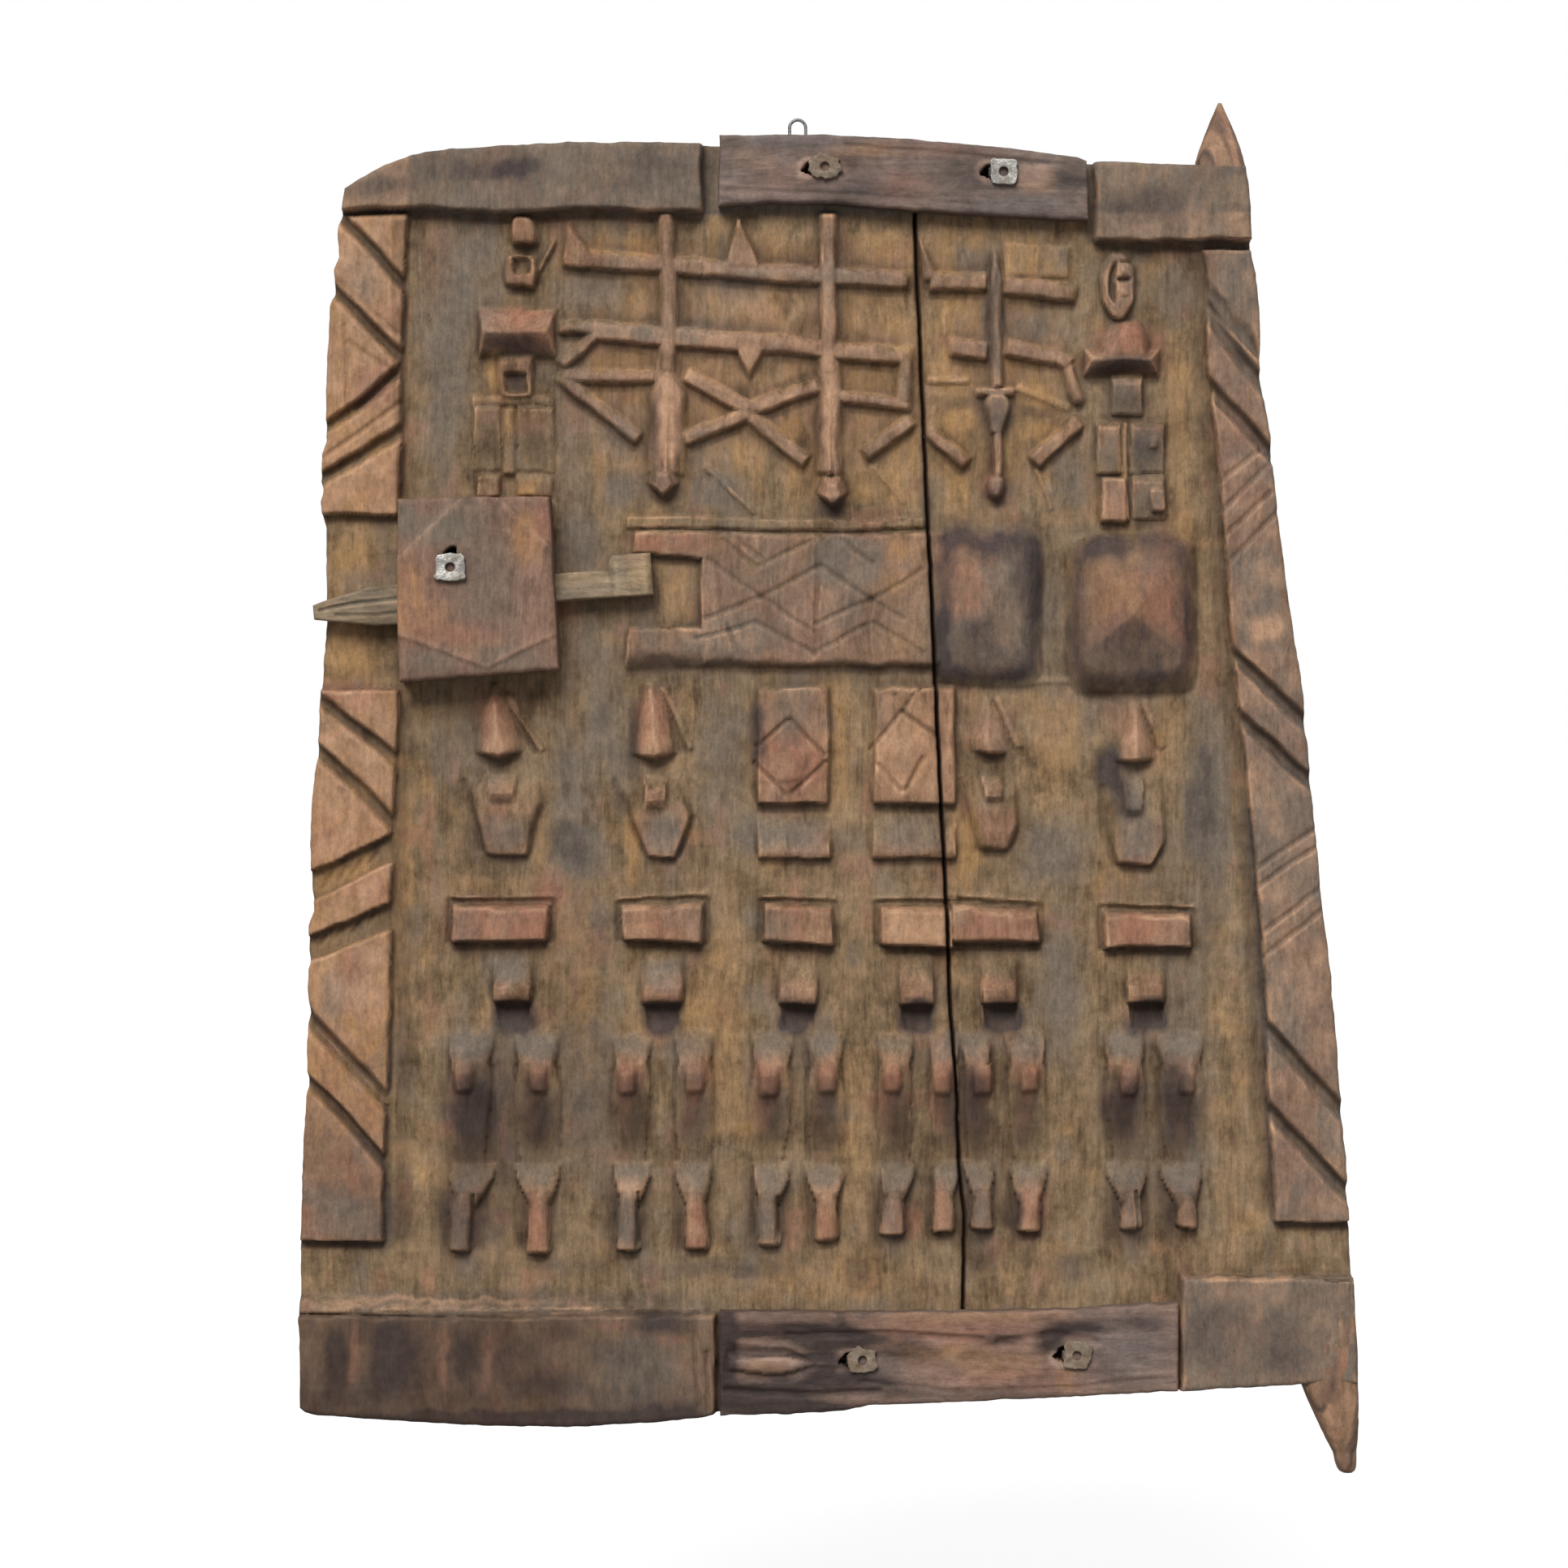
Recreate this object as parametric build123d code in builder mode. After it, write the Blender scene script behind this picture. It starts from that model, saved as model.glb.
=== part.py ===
from build123d import *
from math import atan2, cos, degrees, radians, sin
import os

# A carved granary door: two hewn planks that turn on pivots of their own wood, held edge to edge
# by two battens with iron staples, and a sliding wooden bolt in a tumbler lock on the latch side.
#
# Frame: +Z up, +X to the right as seen from outside, the carved face towards -Y. The origin is
# in the middle of the lower pivot's worn journal. On the carved face a place is given as (u, v):
# u to the right of the panel's latch-side foot, v above it. All sizes are in millimetres.

# The panel in depth.
board = 24.0  # hewn plank under the carving
back_y = 18.0  # the back face lies this far behind the pivots' line
ground_y = back_y - board  # the sunk ground that the figures stand on
band_proud = 12.0  # bands and blocks at the corners
border_proud = 8.0  # zigzag strips along both edges
batten_thick = 15.0

# The panel's hewn outline.
latch_foot_to_pivot = 644.0
foot_above_pivot = 28.0
foot_line = ((0, 0), (165, -8), (258, 0), (450, 9), (540, 14), (618, 19), (650, 19))
head_line = ((582, 767), (487, 768), (440, 771), (370, 778), (250, 781), (70, 775), (27, 752))
latch_side_bow = 5.0  # each side bellies out between its corners
pivot_side_bow = 4.0
seam_at_foot = 412.0
seam_at_head = 376.0
head_height = 790.0
seam_gap = 1.2

# Pivots, left on the pivot-side plank and worn round.
journal_r = 7.0
journal_long = 11.0
journal_nose = 4.0  # rounded end below the journal
lower_root = (634.0, 22.0)
lower_root_r = 16.0
upper_root = (567.0, 757.0)
upper_root_r = 15.0
upper_tip = (566.5, 807.5)
upper_tip_r = 1.5
upper_waist = 0.55  # how far up the point the ogive's shoulder lies
upper_waist_r = 9.5

# Bands and blocks.
top_band_end = 249.0
top_band_low = 737.0
bottom_band_high = 61.0
top_block_low = 719.0
bottom_block_high = 85.0

# Battens across the seam, bedded between the blocks.
batten_gap = 0.3
batten_start = 258.0
top_batten_end = 484.0
top_batten_high = (785, 783, 776, 770)  # its hewn top edge falls towards the pivot side,
top_batten_turns = (365, 440)  # turning at these two places
top_batten_low = (739, 731)
bottom_batten_end = 540.0
bottom_batten_high = (64, 69)
bottom_batten_low = (0, 14)
batten_edge = 2.0
block_gap = 3.0

# Zigzag borders: each groove from its outer to its inner end.
groove_wide = 9.0
groove_deep = 6.0
latch_border_upper = ((0, 737), (68, 737), (62, 549), (0, 546))
latch_border_lower = ((0, 447), (60, 447), (56, 290), (50, 105), (0, 105))
latch_grooves = (
    ((20, 732), (70, 674)), ((18, 692), (70, 640)), ((14, 604), (66, 640)), ((12, 570), (70, 610)),
    ((8, 443), (64, 395)), ((8, 410), (62, 358)), ((4, 312), (62, 352)), ((2, 281), (60, 313)),
    ((2, 252), (58, 192)), ((0, 208), (58, 150)),
)
pivot_border = ((554, 710), (598, 118), (660, 118), (600, 710))
pivot_grooves = (
    ((549, 713), (594, 644)), ((552, 653), (598, 600)), ((562, 482), (620, 425)),
    ((568, 442), (626, 384)), ((587, 243), (644, 180)), ((590, 189), (649, 128)),
)
pivot_hairlines = (
    ((562, 558), (599, 586)), ((564, 520), (603, 557)), ((587, 331), (626, 358)), ((593, 290), (628, 316)),
)
hairline_wide = 4.0
hairline_deep = 2.5

# Six standing figures: four with long faces, two with square masks.
long_faces = (122.0, 217.0, 424.0, 514.0)
masked_faces = (303.0, 372.0)
nose_high = 447.0
nose_low = 400.0
nose_wide = 30.0
nose_tip_wide = 5.0
nose_proud = 13.0
nose_slope = 20.0
mouth_high = 395.0
mouth_low = 374.0
mouth_wide = 17.0
mouth_proud = 9.0
chin_low = 343.0
chin_wide = 36.0
chin_narrow = 18.0
chin_proud = 6.0
mask_high = 445.0
mask_low = 375.0
mask_wide = 44.0
mask_proud = 7.0
throat_high = 366.0
throat_proud = 5.0
torsos = ((124, 63), (221, 56), (306, 44), (378, 42), (430, 54), (522, 56))
shoulder_high = 316.0
shoulder_low = 289.0
shoulder_proud = 11.0
belly_high = 275.0
belly_low = 238.0
belly_wide = 24.0
belly_proud = 9.0
legs = (
    (103, 27), (147, 25), (204, 22), (243, 23), (291, 22), (323, 21),
    (367, 21), (399, 18), (418, 16), (447, 24), (509, 24), (543, 31),
)
thigh_high = 225.0
thigh_low = 156.0
shin_high = 150.0
shin_low = 97.0
shin_climb = 0.043  # the feet stand higher towards the pivot side
leg_proud = 8.0

# Two domes on the pivot side, each by its middle and its sides.
domes = ((428, 492, 74, 94), (518, 489, 84, 97))
dome_proud = 20.0
dome_slope = 52.0

# The chequered plate beside the lock.
plate_start = 198.0
plate_end = 387.0
plate_low = 455.0
plate_high = 545.0
plate_proud = 6.0

# Small figures in the two upper corners: blocks by how proud they stand, each by middle and sides.
small_figures = {
    12.0: ((135, 672, 45, 14), (507, 656, 44, 18)),
    8.0: ((137, 728, 17, 16), (137, 699, 20, 18), (503, 694, 18, 37), (134, 639, 17, 22), (509, 623, 20, 20)),
    6.0: ((498, 590, 20, 30), (524, 590, 22, 30), (500, 560, 15, 20), (525, 560, 15, 20)),
    4.0: ((116, 599, 21, 42), (146, 599, 26, 42), (135, 568, 45, 10)),
}

# Barred emblems between them, each bar by its ends.
emblem_wide = 10.0
emblem_proud = 7.0
emblem_bars = (
    ((172, 711), (372, 695)), ((168, 671), (366, 655)), ((168, 640), (218, 638)), ((168, 626), (208, 602)),
    ((240, 632), (277, 617)), ((277, 617), (315, 630)), ((277, 617), (245, 596)), ((277, 617), (303, 587)),
    ((330, 628), (364, 621)), ((372, 608), (350, 588)), ((364, 652), (364, 636)),
    ((390, 697), (470, 697)), ((404, 655), (470, 653)), ((474, 650), (480, 628)),
    ((392, 623), (418, 623)), ((440, 622), (462, 612)), ((390, 600), (405, 585)), ((473, 602), (453, 588)),
)
emblem_foot = ((171, 552), (372, 552))
emblem_foot_wide = 4.0
emblem_foot_proud = 3.0
long_necks = ((226, 727, 556), (324, 722, 552))  # each by its line, its top and its low end
neck_wide = 11.0
neck_proud = 9.0
neck_grip_wide = 26.0
neck_grip_low = 577.0
neck_grip_high = 634.0
neck_head_wide = 22.0
neck_head_tall = 20.0
blade = ((429, 720), (425, 626), (433, 626))
blade_grip = ((428, 598, 6, 56), (428, 568, 16, 15))
blade_proud = 8.0

# Iron staples: a strap with a flattened eye, its two prongs clenched flush into the back.
strap_thick = 4.0
strap_wide = 6.0
strap_gap = 0.3
eye_thick = 3.0
eye_long = 17.0
eye_wide = 16.0
eye_round = 2.5
eye_hole_r = 2.5
hole_long = 9.0
hole_wide = 8.0
prong_thick = 2.5
prong_long = 16.0
eye_to_right = 0.0  # which way the eye lies from its hole, in degrees
eye_below = -90.0
top_staples = {"left": (313.0, 765.0), "right": (423.0, 762.0)}
bottom_staples = {"left": (336.0, 34.0), "right": (468.0, 37.0)}
lock_staple_at = (95.0, 528.0)

# The lock's case.
case_corners = ((64, 449), (161, 457), (155, 562), (63, 561))
case_thick = 34.0
case_edge = 2.5

# The bolt, measured along its slanted line from the middle tumbler.
bolt_line = (130.0, 514.0)  # where the bolt's upper edge passes under the middle tumbler
bolt_tilt = 4.0  # degrees, falling towards the latch side
bolt_tall = 24.0
bolt_thick = 16.0
bolt_gap = 0.3
tongue_reach = 122.0
tongue_taper = 37.0
tongue_tip_drop = 8.5
tongue_tip_tall = 9.5
grip_start = 20.0
grip_tall = 17.0  # the drawn end is thinned from below
knob_start = 62.0
knob_reach = 87.0
knob_rise = 9.0
bolt_draw = 29.0  # back, until the knob fills its notch
notch_gap = 2.0
key_way_tall = 10.0
key_way_wide = 8.0
key_way_roof = 3.5

# Tumblers that fall into the bolt's sockets when it is thrown.
bolt_throw = 30.0
tumbler_pitch = 12.5
tumbler_r = 2.5
tumbler_long = 22.0
tumbler_head_r = 4.0
tumbler_head_thick = 4.0
tumbler_lift = 8.0
tumbler_gap = 0.3
socket_gap = 0.7

# The wire hanger on the back.
hanger_at = 306.5
hanger_pin_high = 771.0
wire_r = 1.0
ring_wide = 10.0
ring_rise = 29.0
ring_corner_r = 2.0
hanger_plate_thick = 1.2
hanger_plate_wide = 14.0
hanger_plate_long = 39.0
knuckle_gap = 0.1
knuckle_long = 5.0
screw_r = 1.3
screw_long = 14.0
screw_head_r = 2.5
screw_head_thick = 1.7
screw_slot_wide = 0.8
screw_slot_deep = 0.9
screw_gap = 0.05
plate_hole_gap = 0.2
screw_drops = (17.0, 33.0)  # below the ring's pin

# Worked out from the sizes above.
batten_front_y = ground_y - batten_thick
case_front_y = ground_y - case_thick
batten_staples = (*top_staples.values(), *bottom_staples.values())
bolt_back_y = ground_y - bolt_gap
strap_offset = hole_long / 2 - strap_gap - strap_thick / 2  # the strap stands under the eye's root
tilt = radians(bolt_tilt)
notch_end = bolt_line[0] + (knob_reach + bolt_draw + notch_gap) * cos(tilt)
notch_high = bolt_line[1] + (knob_reach + bolt_draw) * sin(tilt) + knob_rise + notch_gap
notch_low = bolt_line[1] + knob_start * sin(tilt) - bolt_tall - notch_gap
tumbler_y = ground_y - tumbler_head_r - tumbler_gap
tumbler_places = {"tumbler_pin_1": -tumbler_pitch, "tumbler_pin_2": 0.0, "tumbler_pin_3": tumbler_pitch}
hanger_pin_y = back_y + hanger_plate_thick + knuckle_gap + wire_r
knuckle_r = wire_r + knuckle_gap + hanger_plate_thick
beyond = 40.0  # rough blanks reach this far past the outline before they are trimmed to it


def face(y):
    """The (u, v) plane at depth y, seen from the carved side."""
    return Plane(origin=(-latch_foot_to_pivot, y, foot_above_pivot), x_dir=(1, 0, 0), z_dir=(0, -1, 0))


def place(u, v, y):
    """The point of the frame at (u, v) and depth y."""
    return Vector(u - latch_foot_to_pivot, y, v + foot_above_pivot)


def bolt_face(y):
    """The bolt's own plane at depth y: x along it, y above its upper edge."""
    along = Vector(cos(tilt), 0, sin(tilt))
    return Plane(origin=place(*bolt_line, y), x_dir=along, z_dir=(0, -1, 0))


def fill(*points):
    """Fill a closed outline of straight sides in the sketch that is open."""
    with BuildLine() as edge:
        Polyline(*points, close=True)
    make_face(edge.edges())


def between(left, right, low, high):
    """Draw an upright rectangle by its four sides in the sketch that is open."""
    with Locations(((left + right) / 2, (low + high) / 2)):
        Rectangle(right - left, high - low)


def block(u, v, wide, tall):
    """Draw an upright rectangle about its middle in the sketch that is open."""
    with Locations((u, v)):
        Rectangle(wide, tall)


def bar(start, end, wide):
    """Draw a straight bar between two points in the sketch that is open."""
    run = Vector(*end) - Vector(*start)
    with Locations((Vector(*start) + Vector(*end)) / 2):
        Rectangle(run.length, wide, rotation=degrees(atan2(run.Y, run.X)))


def strap_place(spot, turn):
    """Where a staple's strap stands in its hole, with x towards its eye."""
    return Location((*spot, 0), turn) * Location((strap_offset, 0, 0))


def staple_hole(spot, turn):
    """Draw one staple's hole in the sketch that is open."""
    with Locations(Location((*spot, 0), turn)):
        Rectangle(hole_long, hole_wide)


def prong_seat(spot, turn):
    """Draw the seat of one staple's clenched prongs in the sketch that is open."""
    with Locations(strap_place(spot, turn)):
        Rectangle(2 * (prong_long + strap_gap) + strap_thick, strap_wide + 2 * strap_gap)


def make_staple(spot, turn, front_y):
    """One iron staple: a flat eye on front_y, a strap through the wood, prongs in the back."""
    with BuildPart() as iron:
        with BuildSketch(face(front_y)) as eye:
            with Locations(strap_place(spot, turn) * Location(((eye_long - strap_thick) / 2, 0, 0))):
                RectangleRounded(eye_long, eye_wide, eye_round)
                Circle(eye_hole_r, mode=Mode.SUBTRACT)
        extrude(eye.sketch, amount=eye_thick)
        with BuildSketch(face(back_y)) as strap:
            with Locations(strap_place(spot, turn)):
                Rectangle(strap_thick, strap_wide)
        extrude(strap.sketch, amount=back_y - front_y)
        with BuildSketch(face(back_y)) as prongs:
            with Locations(strap_place(spot, turn)):
                Rectangle(2 * prong_long + strap_thick, strap_wide)
        extrude(prongs.sketch, amount=prong_thick)
    return iron


def keep(piece, name):
    """Label a finished piece and write it to its own file."""
    piece.label = name
    export_step(piece, f"parts/{name}.step")


os.makedirs("parts", exist_ok=True)

# The line that the door turns on runs through both pivots.
upper_bearing = place(*upper_tip, 0)
hinge_down = (Vector(0, 0, 0) - upper_bearing).normalized()
journal_face = Plane(origin=(0, 0, 0), x_dir=(0, 1, 0), z_dir=hinge_down)

# Both planks are joined first and then carved across their seam.
with BuildPart() as panel:
    with BuildSketch(face(back_y)) as outline:
        with BuildLine():
            Polyline(*foot_line)
            SagittaArc(foot_line[-1], head_line[0], -pivot_side_bow)
            Polyline(*head_line)
            SagittaArc(head_line[-1], foot_line[0], -latch_side_bow)
        make_face()
    extrude(amount=board)

    # Bands on the latch side and blocks on the pivot side, in line with the battens.
    with BuildSketch(face(ground_y)):
        between(-beyond, top_band_end, top_band_low, head_height + beyond)
        between(-beyond, batten_start - batten_gap, -beyond, bottom_band_high)
        between(top_batten_end + block_gap, latch_foot_to_pivot + beyond, top_block_low, head_height + beyond)
        between(bottom_batten_end + batten_gap, latch_foot_to_pivot + beyond, -beyond, bottom_block_high)
    extrude(amount=band_proud)

    # Zigzag borders, their triangles parted by chased grooves.
    with BuildSketch(face(ground_y)):
        fill(*latch_border_upper)
        fill(*latch_border_lower)
        fill(*pivot_border)
    extrude(amount=border_proud)
    with BuildSketch(face(ground_y - border_proud)):
        for start, end in latch_grooves + pivot_grooves:
            bar(start, end, groove_wide)
    extrude(amount=-groove_deep, mode=Mode.SUBTRACT)
    with BuildSketch(face(ground_y - border_proud)):
        for start, end in pivot_hairlines:
            bar(start, end, hairline_wide)
    extrude(amount=-hairline_deep, mode=Mode.SUBTRACT)

    # The figures' faces.
    with BuildSketch(face(ground_y)):
        for u in long_faces:
            fill(
                (u - nose_wide / 2, nose_low), (u + nose_wide / 2, nose_low),
                (u + nose_tip_wide / 2, nose_high), (u - nose_tip_wide / 2, nose_high),
            )
    extrude(amount=nose_proud, taper=nose_slope)
    with BuildSketch(face(ground_y)):
        for u in long_faces:
            fill(
                (u - chin_narrow / 2, chin_low), (u + chin_narrow / 2, chin_low),
                (u + chin_wide / 2, mouth_low), (u - chin_wide / 2, mouth_low),
            )
    extrude(amount=chin_proud)
    with BuildSketch(face(ground_y)):
        for u in long_faces:
            between(u - mouth_wide / 2, u + mouth_wide / 2, mouth_low, mouth_high)
    extrude(amount=mouth_proud)
    with BuildSketch(face(ground_y)):
        for u in masked_faces:
            between(u - mask_wide / 2, u + mask_wide / 2, mask_low, mask_high)
    extrude(amount=mask_proud)
    with BuildSketch(face(ground_y)):
        for u in masked_faces:
            between(u - mask_wide / 2, u + mask_wide / 2, chin_low, throat_high)
    extrude(amount=throat_proud)

    # Their shoulders, bellies and legs.
    with BuildSketch(face(ground_y)):
        for u, wide in torsos:
            between(u - wide / 2, u + wide / 2, shoulder_low, shoulder_high)
    extrude(amount=shoulder_proud)
    with BuildSketch(face(ground_y)):
        for u, wide in torsos:
            between(u - belly_wide / 2, u + belly_wide / 2, belly_low, belly_high)
    extrude(amount=belly_proud)
    with BuildSketch(face(ground_y)):
        for u, wide in legs:
            between(u - wide / 2, u + wide / 2, thigh_low, thigh_high)
            between(u - wide / 2, u + wide / 2, shin_low + shin_climb * u, shin_high)
    extrude(amount=leg_proud)

    # Two domes on the pivot side.
    with BuildSketch(face(ground_y)):
        for dome in domes:
            block(*dome)
    extrude(amount=dome_proud, taper=dome_slope)

    # The chequered plate, notched where the bolt's knob is drawn back.
    with BuildSketch(face(ground_y)):
        between(plate_start, plate_end, plate_low, plate_high)
        with Locations(((plate_start - beyond + notch_end) / 2, (notch_low + notch_high) / 2)):
            Rectangle(notch_end - plate_start + beyond, notch_high - notch_low, mode=Mode.SUBTRACT)
    extrude(amount=plate_proud)

    # Small figures and emblems along the top.
    for proud, blocks in small_figures.items():
        with BuildSketch(face(ground_y)):
            for sides in blocks:
                block(*sides)
        extrude(amount=proud)
    with BuildSketch(face(ground_y)):
        for start, end in emblem_bars:
            bar(start, end, emblem_wide)
    extrude(amount=emblem_proud)
    with BuildSketch(face(ground_y)):
        bar(*emblem_foot, emblem_foot_wide)
    extrude(amount=emblem_foot_proud)
    with BuildSketch(face(ground_y)):
        for u, high, low in long_necks:
            between(u - neck_wide / 2, u + neck_wide / 2, low, high)
            between(u - neck_grip_wide / 2, u + neck_grip_wide / 2, neck_grip_low, neck_grip_high)
            block(u, low + neck_head_tall / 2, neck_head_wide, neck_head_tall)
    extrude(amount=neck_proud)
    with BuildSketch(face(ground_y)):
        fill(*blade)
        for grip in blade_grip:
            block(*grip)
    extrude(amount=blade_proud)

    # Everything is hewn off at the panel's outline.
    extrude(outline.sketch, amount=board + dome_proud, mode=Mode.INTERSECT)

    # The pivots: a round leg with a worn journal below, a pointed ogive above.
    with BuildSketch(Plane(origin=place(*lower_root, 0), x_dir=(0, 1, 0), z_dir=(0, 0, -1))):
        Circle(lower_root_r)
    with BuildSketch(journal_face.offset(-journal_long / 2)):
        Circle(journal_r)
    loft()
    with BuildSketch(journal_face.offset(-journal_long / 2)):
        Circle(journal_r)
    extrude(amount=journal_long)
    with BuildSketch(journal_face.offset(journal_long / 2)):
        Circle(journal_r)
    with BuildSketch(journal_face.offset(journal_long / 2 + journal_nose)):
        Circle(journal_r / 2)
    loft()
    waist = (Vector(*upper_root) * (1 - upper_waist)) + (Vector(*upper_tip) * upper_waist)
    for (u, v), r in ((upper_root, upper_root_r), ((waist.X, waist.Y), upper_waist_r), (upper_tip, upper_tip_r)):
        with BuildSketch(Plane(origin=place(u, v, 0), x_dir=(1, 0, 0), z_dir=(0, 0, 1))):
            Circle(r)
    loft()

    # Staple holes through the wood, and shallow seats in the back that their prongs are beaten into.
    with BuildSketch(face(back_y)):
        for spot in batten_staples:
            staple_hole(spot, eye_to_right)
        staple_hole(lock_staple_at, eye_below)
    extrude(amount=board, mode=Mode.SUBTRACT)
    with BuildSketch(face(back_y)):
        for spot in batten_staples:
            prong_seat(spot, eye_to_right)
        prong_seat(lock_staple_at, eye_below)
    extrude(amount=prong_thick, mode=Mode.SUBTRACT)

    # Pilot holes of the hanger's screws.
    with BuildSketch(face(back_y)):
        for drop in screw_drops:
            with Locations((hanger_at, hanger_pin_high - drop)):
                Circle(screw_r + screw_gap)
    extrude(amount=screw_long, mode=Mode.SUBTRACT)

# The seam's plane, its normal towards the pivot side.
seam_up = (place(seam_at_head, head_height, 0) - place(seam_at_foot, 0, 0)).normalized()
seam = Plane(origin=place(seam_at_foot, 0, 0), x_dir=(0, 1, 0), z_dir=Vector(0, 1, 0).cross(seam_up))

with BuildPart() as wide_plank:
    add(panel.part)
    split(bisect_by=seam.offset(-seam_gap / 2), keep=Keep.BOTTOM)
keep(wide_plank.part, "wide_plank")

with BuildPart() as narrow_plank:
    add(panel.part)
    split(bisect_by=seam.offset(seam_gap / 2), keep=Keep.TOP)
keep(narrow_plank.part, "narrow_plank")

# The battens lie flat on the ground between the bands and the blocks.
with BuildPart() as top_batten:
    with BuildSketch(face(ground_y)):
        fill(
            (batten_start, top_batten_low[0]), (top_batten_end, top_batten_low[1]),
            (top_batten_end, top_batten_high[3]), (top_batten_turns[1], top_batten_high[2]),
            (top_batten_turns[0], top_batten_high[1]), (batten_start, top_batten_high[0]),
        )
    extrude(amount=batten_thick)
    chamfer(top_batten.faces().sort_by(Axis.Y)[0].edges(), batten_edge)
    with BuildSketch(face(ground_y)):
        for spot in top_staples.values():
            staple_hole(spot, eye_to_right)
    extrude(amount=batten_thick, mode=Mode.SUBTRACT)
keep(top_batten.part, "top_batten")

with BuildPart() as bottom_batten:
    with BuildSketch(face(ground_y)):
        fill(
            (batten_start, bottom_batten_low[0]), (bottom_batten_end, bottom_batten_low[1]),
            (bottom_batten_end, bottom_batten_high[1]), (batten_start, bottom_batten_high[0]),
        )
    extrude(amount=batten_thick)
    chamfer(bottom_batten.faces().sort_by(Axis.Y)[0].edges(), batten_edge)
    with BuildSketch(face(ground_y)):
        for spot in bottom_staples.values():
            staple_hole(spot, eye_to_right)
    extrude(amount=batten_thick, mode=Mode.SUBTRACT)
keep(bottom_batten.part, "bottom_batten")

for side, spot in top_staples.items():
    top_staple = make_staple(spot, eye_to_right, batten_front_y)
    keep(top_staple.part, f"top_batten_staple_{side}")
for side, spot in bottom_staples.items():
    bottom_staple = make_staple(spot, eye_to_right, batten_front_y)
    keep(bottom_staple.part, f"bottom_batten_staple_{side}")

# The lock case, hollowed from behind: the bolt's channel, with stepped tumbler slots above it.
shoulder_rise = tumbler_gap + tumbler_long - tumbler_lift - socket_gap
slot_top = tumbler_gap + tumbler_long + tumbler_head_thick + tumbler_lift + socket_gap
with BuildPart() as lock_case:
    with BuildSketch(face(ground_y)):
        fill(*case_corners)
    extrude(amount=case_thick)
    chamfer(lock_case.faces().sort_by(Axis.Y)[0].edges(), case_edge)
    with BuildSketch(bolt_face(ground_y)):
        between(-tongue_reach, knob_reach, -bolt_tall - bolt_gap, bolt_gap)
    extrude(amount=bolt_thick + 2 * bolt_gap, mode=Mode.SUBTRACT)
    with BuildSketch(bolt_face(ground_y)):
        for s in tumbler_places.values():
            between(s - tumbler_r - tumbler_gap, s + tumbler_r + tumbler_gap, 0, slot_top)
    extrude(amount=ground_y - tumbler_y + tumbler_r + tumbler_gap, mode=Mode.SUBTRACT)
    with BuildSketch(bolt_face(ground_y)):
        for s in tumbler_places.values():
            between(s - tumbler_head_r - tumbler_gap, s + tumbler_head_r + tumbler_gap, shoulder_rise, slot_top)
    extrude(amount=ground_y - tumbler_y + tumbler_head_r + tumbler_gap, mode=Mode.SUBTRACT)
    with BuildSketch(face(ground_y)):
        staple_hole(lock_staple_at, eye_below)
    extrude(amount=case_thick, mode=Mode.SUBTRACT)
keep(lock_case.part, "lock_case")

lock_staple = make_staple(lock_staple_at, eye_below, case_front_y)
keep(lock_staple.part, "lock_staple")

# The bolt: a tapered tongue, a thinned grip with its knob, three sockets and the key's hollow.
with BuildPart() as lock_bolt:
    with BuildSketch(bolt_face(bolt_back_y)):
        fill(
            (-tongue_reach, -tongue_tip_drop), (-tongue_reach, -tongue_tip_drop - tongue_tip_tall),
            (tongue_taper - tongue_reach, -bolt_tall), (grip_start, -bolt_tall), (grip_start, -grip_tall),
            (knob_reach, -grip_tall), (knob_reach, knob_rise), (knob_start, knob_rise), (knob_start, 0),
            (tongue_taper - tongue_reach, 0),
        )
    extrude(amount=bolt_thick)
    with BuildSketch(bolt_face(bolt_back_y)):
        for s in tumbler_places.values():
            socket = s + bolt_throw
            half = tumbler_r + socket_gap
            between(socket - half, socket + half, -tumbler_lift - tumbler_gap, 0)
    extrude(amount=bolt_back_y - tumbler_y + tumbler_r + socket_gap, mode=Mode.SUBTRACT)
    with BuildSketch(bolt_face(bolt_back_y - (bolt_thick - key_way_wide) / 2)):
        key_way_end = bolt_throw - tumbler_pitch - tumbler_r - socket_gap
        between(key_way_end, knob_reach, -key_way_roof - key_way_tall, -key_way_roof)
    extrude(amount=key_way_wide, mode=Mode.SUBTRACT)
keep(lock_bolt.part, "lock_bolt")

# Headed iron tumblers, resting on the bolt's upper edge while it is half drawn.
for name, s in tumbler_places.items():
    tumbler_face = bolt_face(tumbler_y)
    foot = Plane(origin=tumbler_face.from_local_coords(Vector(s, tumbler_gap, 0)), z_dir=tumbler_face.y_dir)
    with BuildPart() as tumbler_pin:
        with BuildSketch(foot):
            Circle(tumbler_r)
        extrude(amount=tumbler_long)
        with BuildSketch(foot.offset(tumbler_long)):
            Circle(tumbler_head_r)
        extrude(amount=tumbler_head_thick)
    keep(tumbler_pin.part, name)

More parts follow.
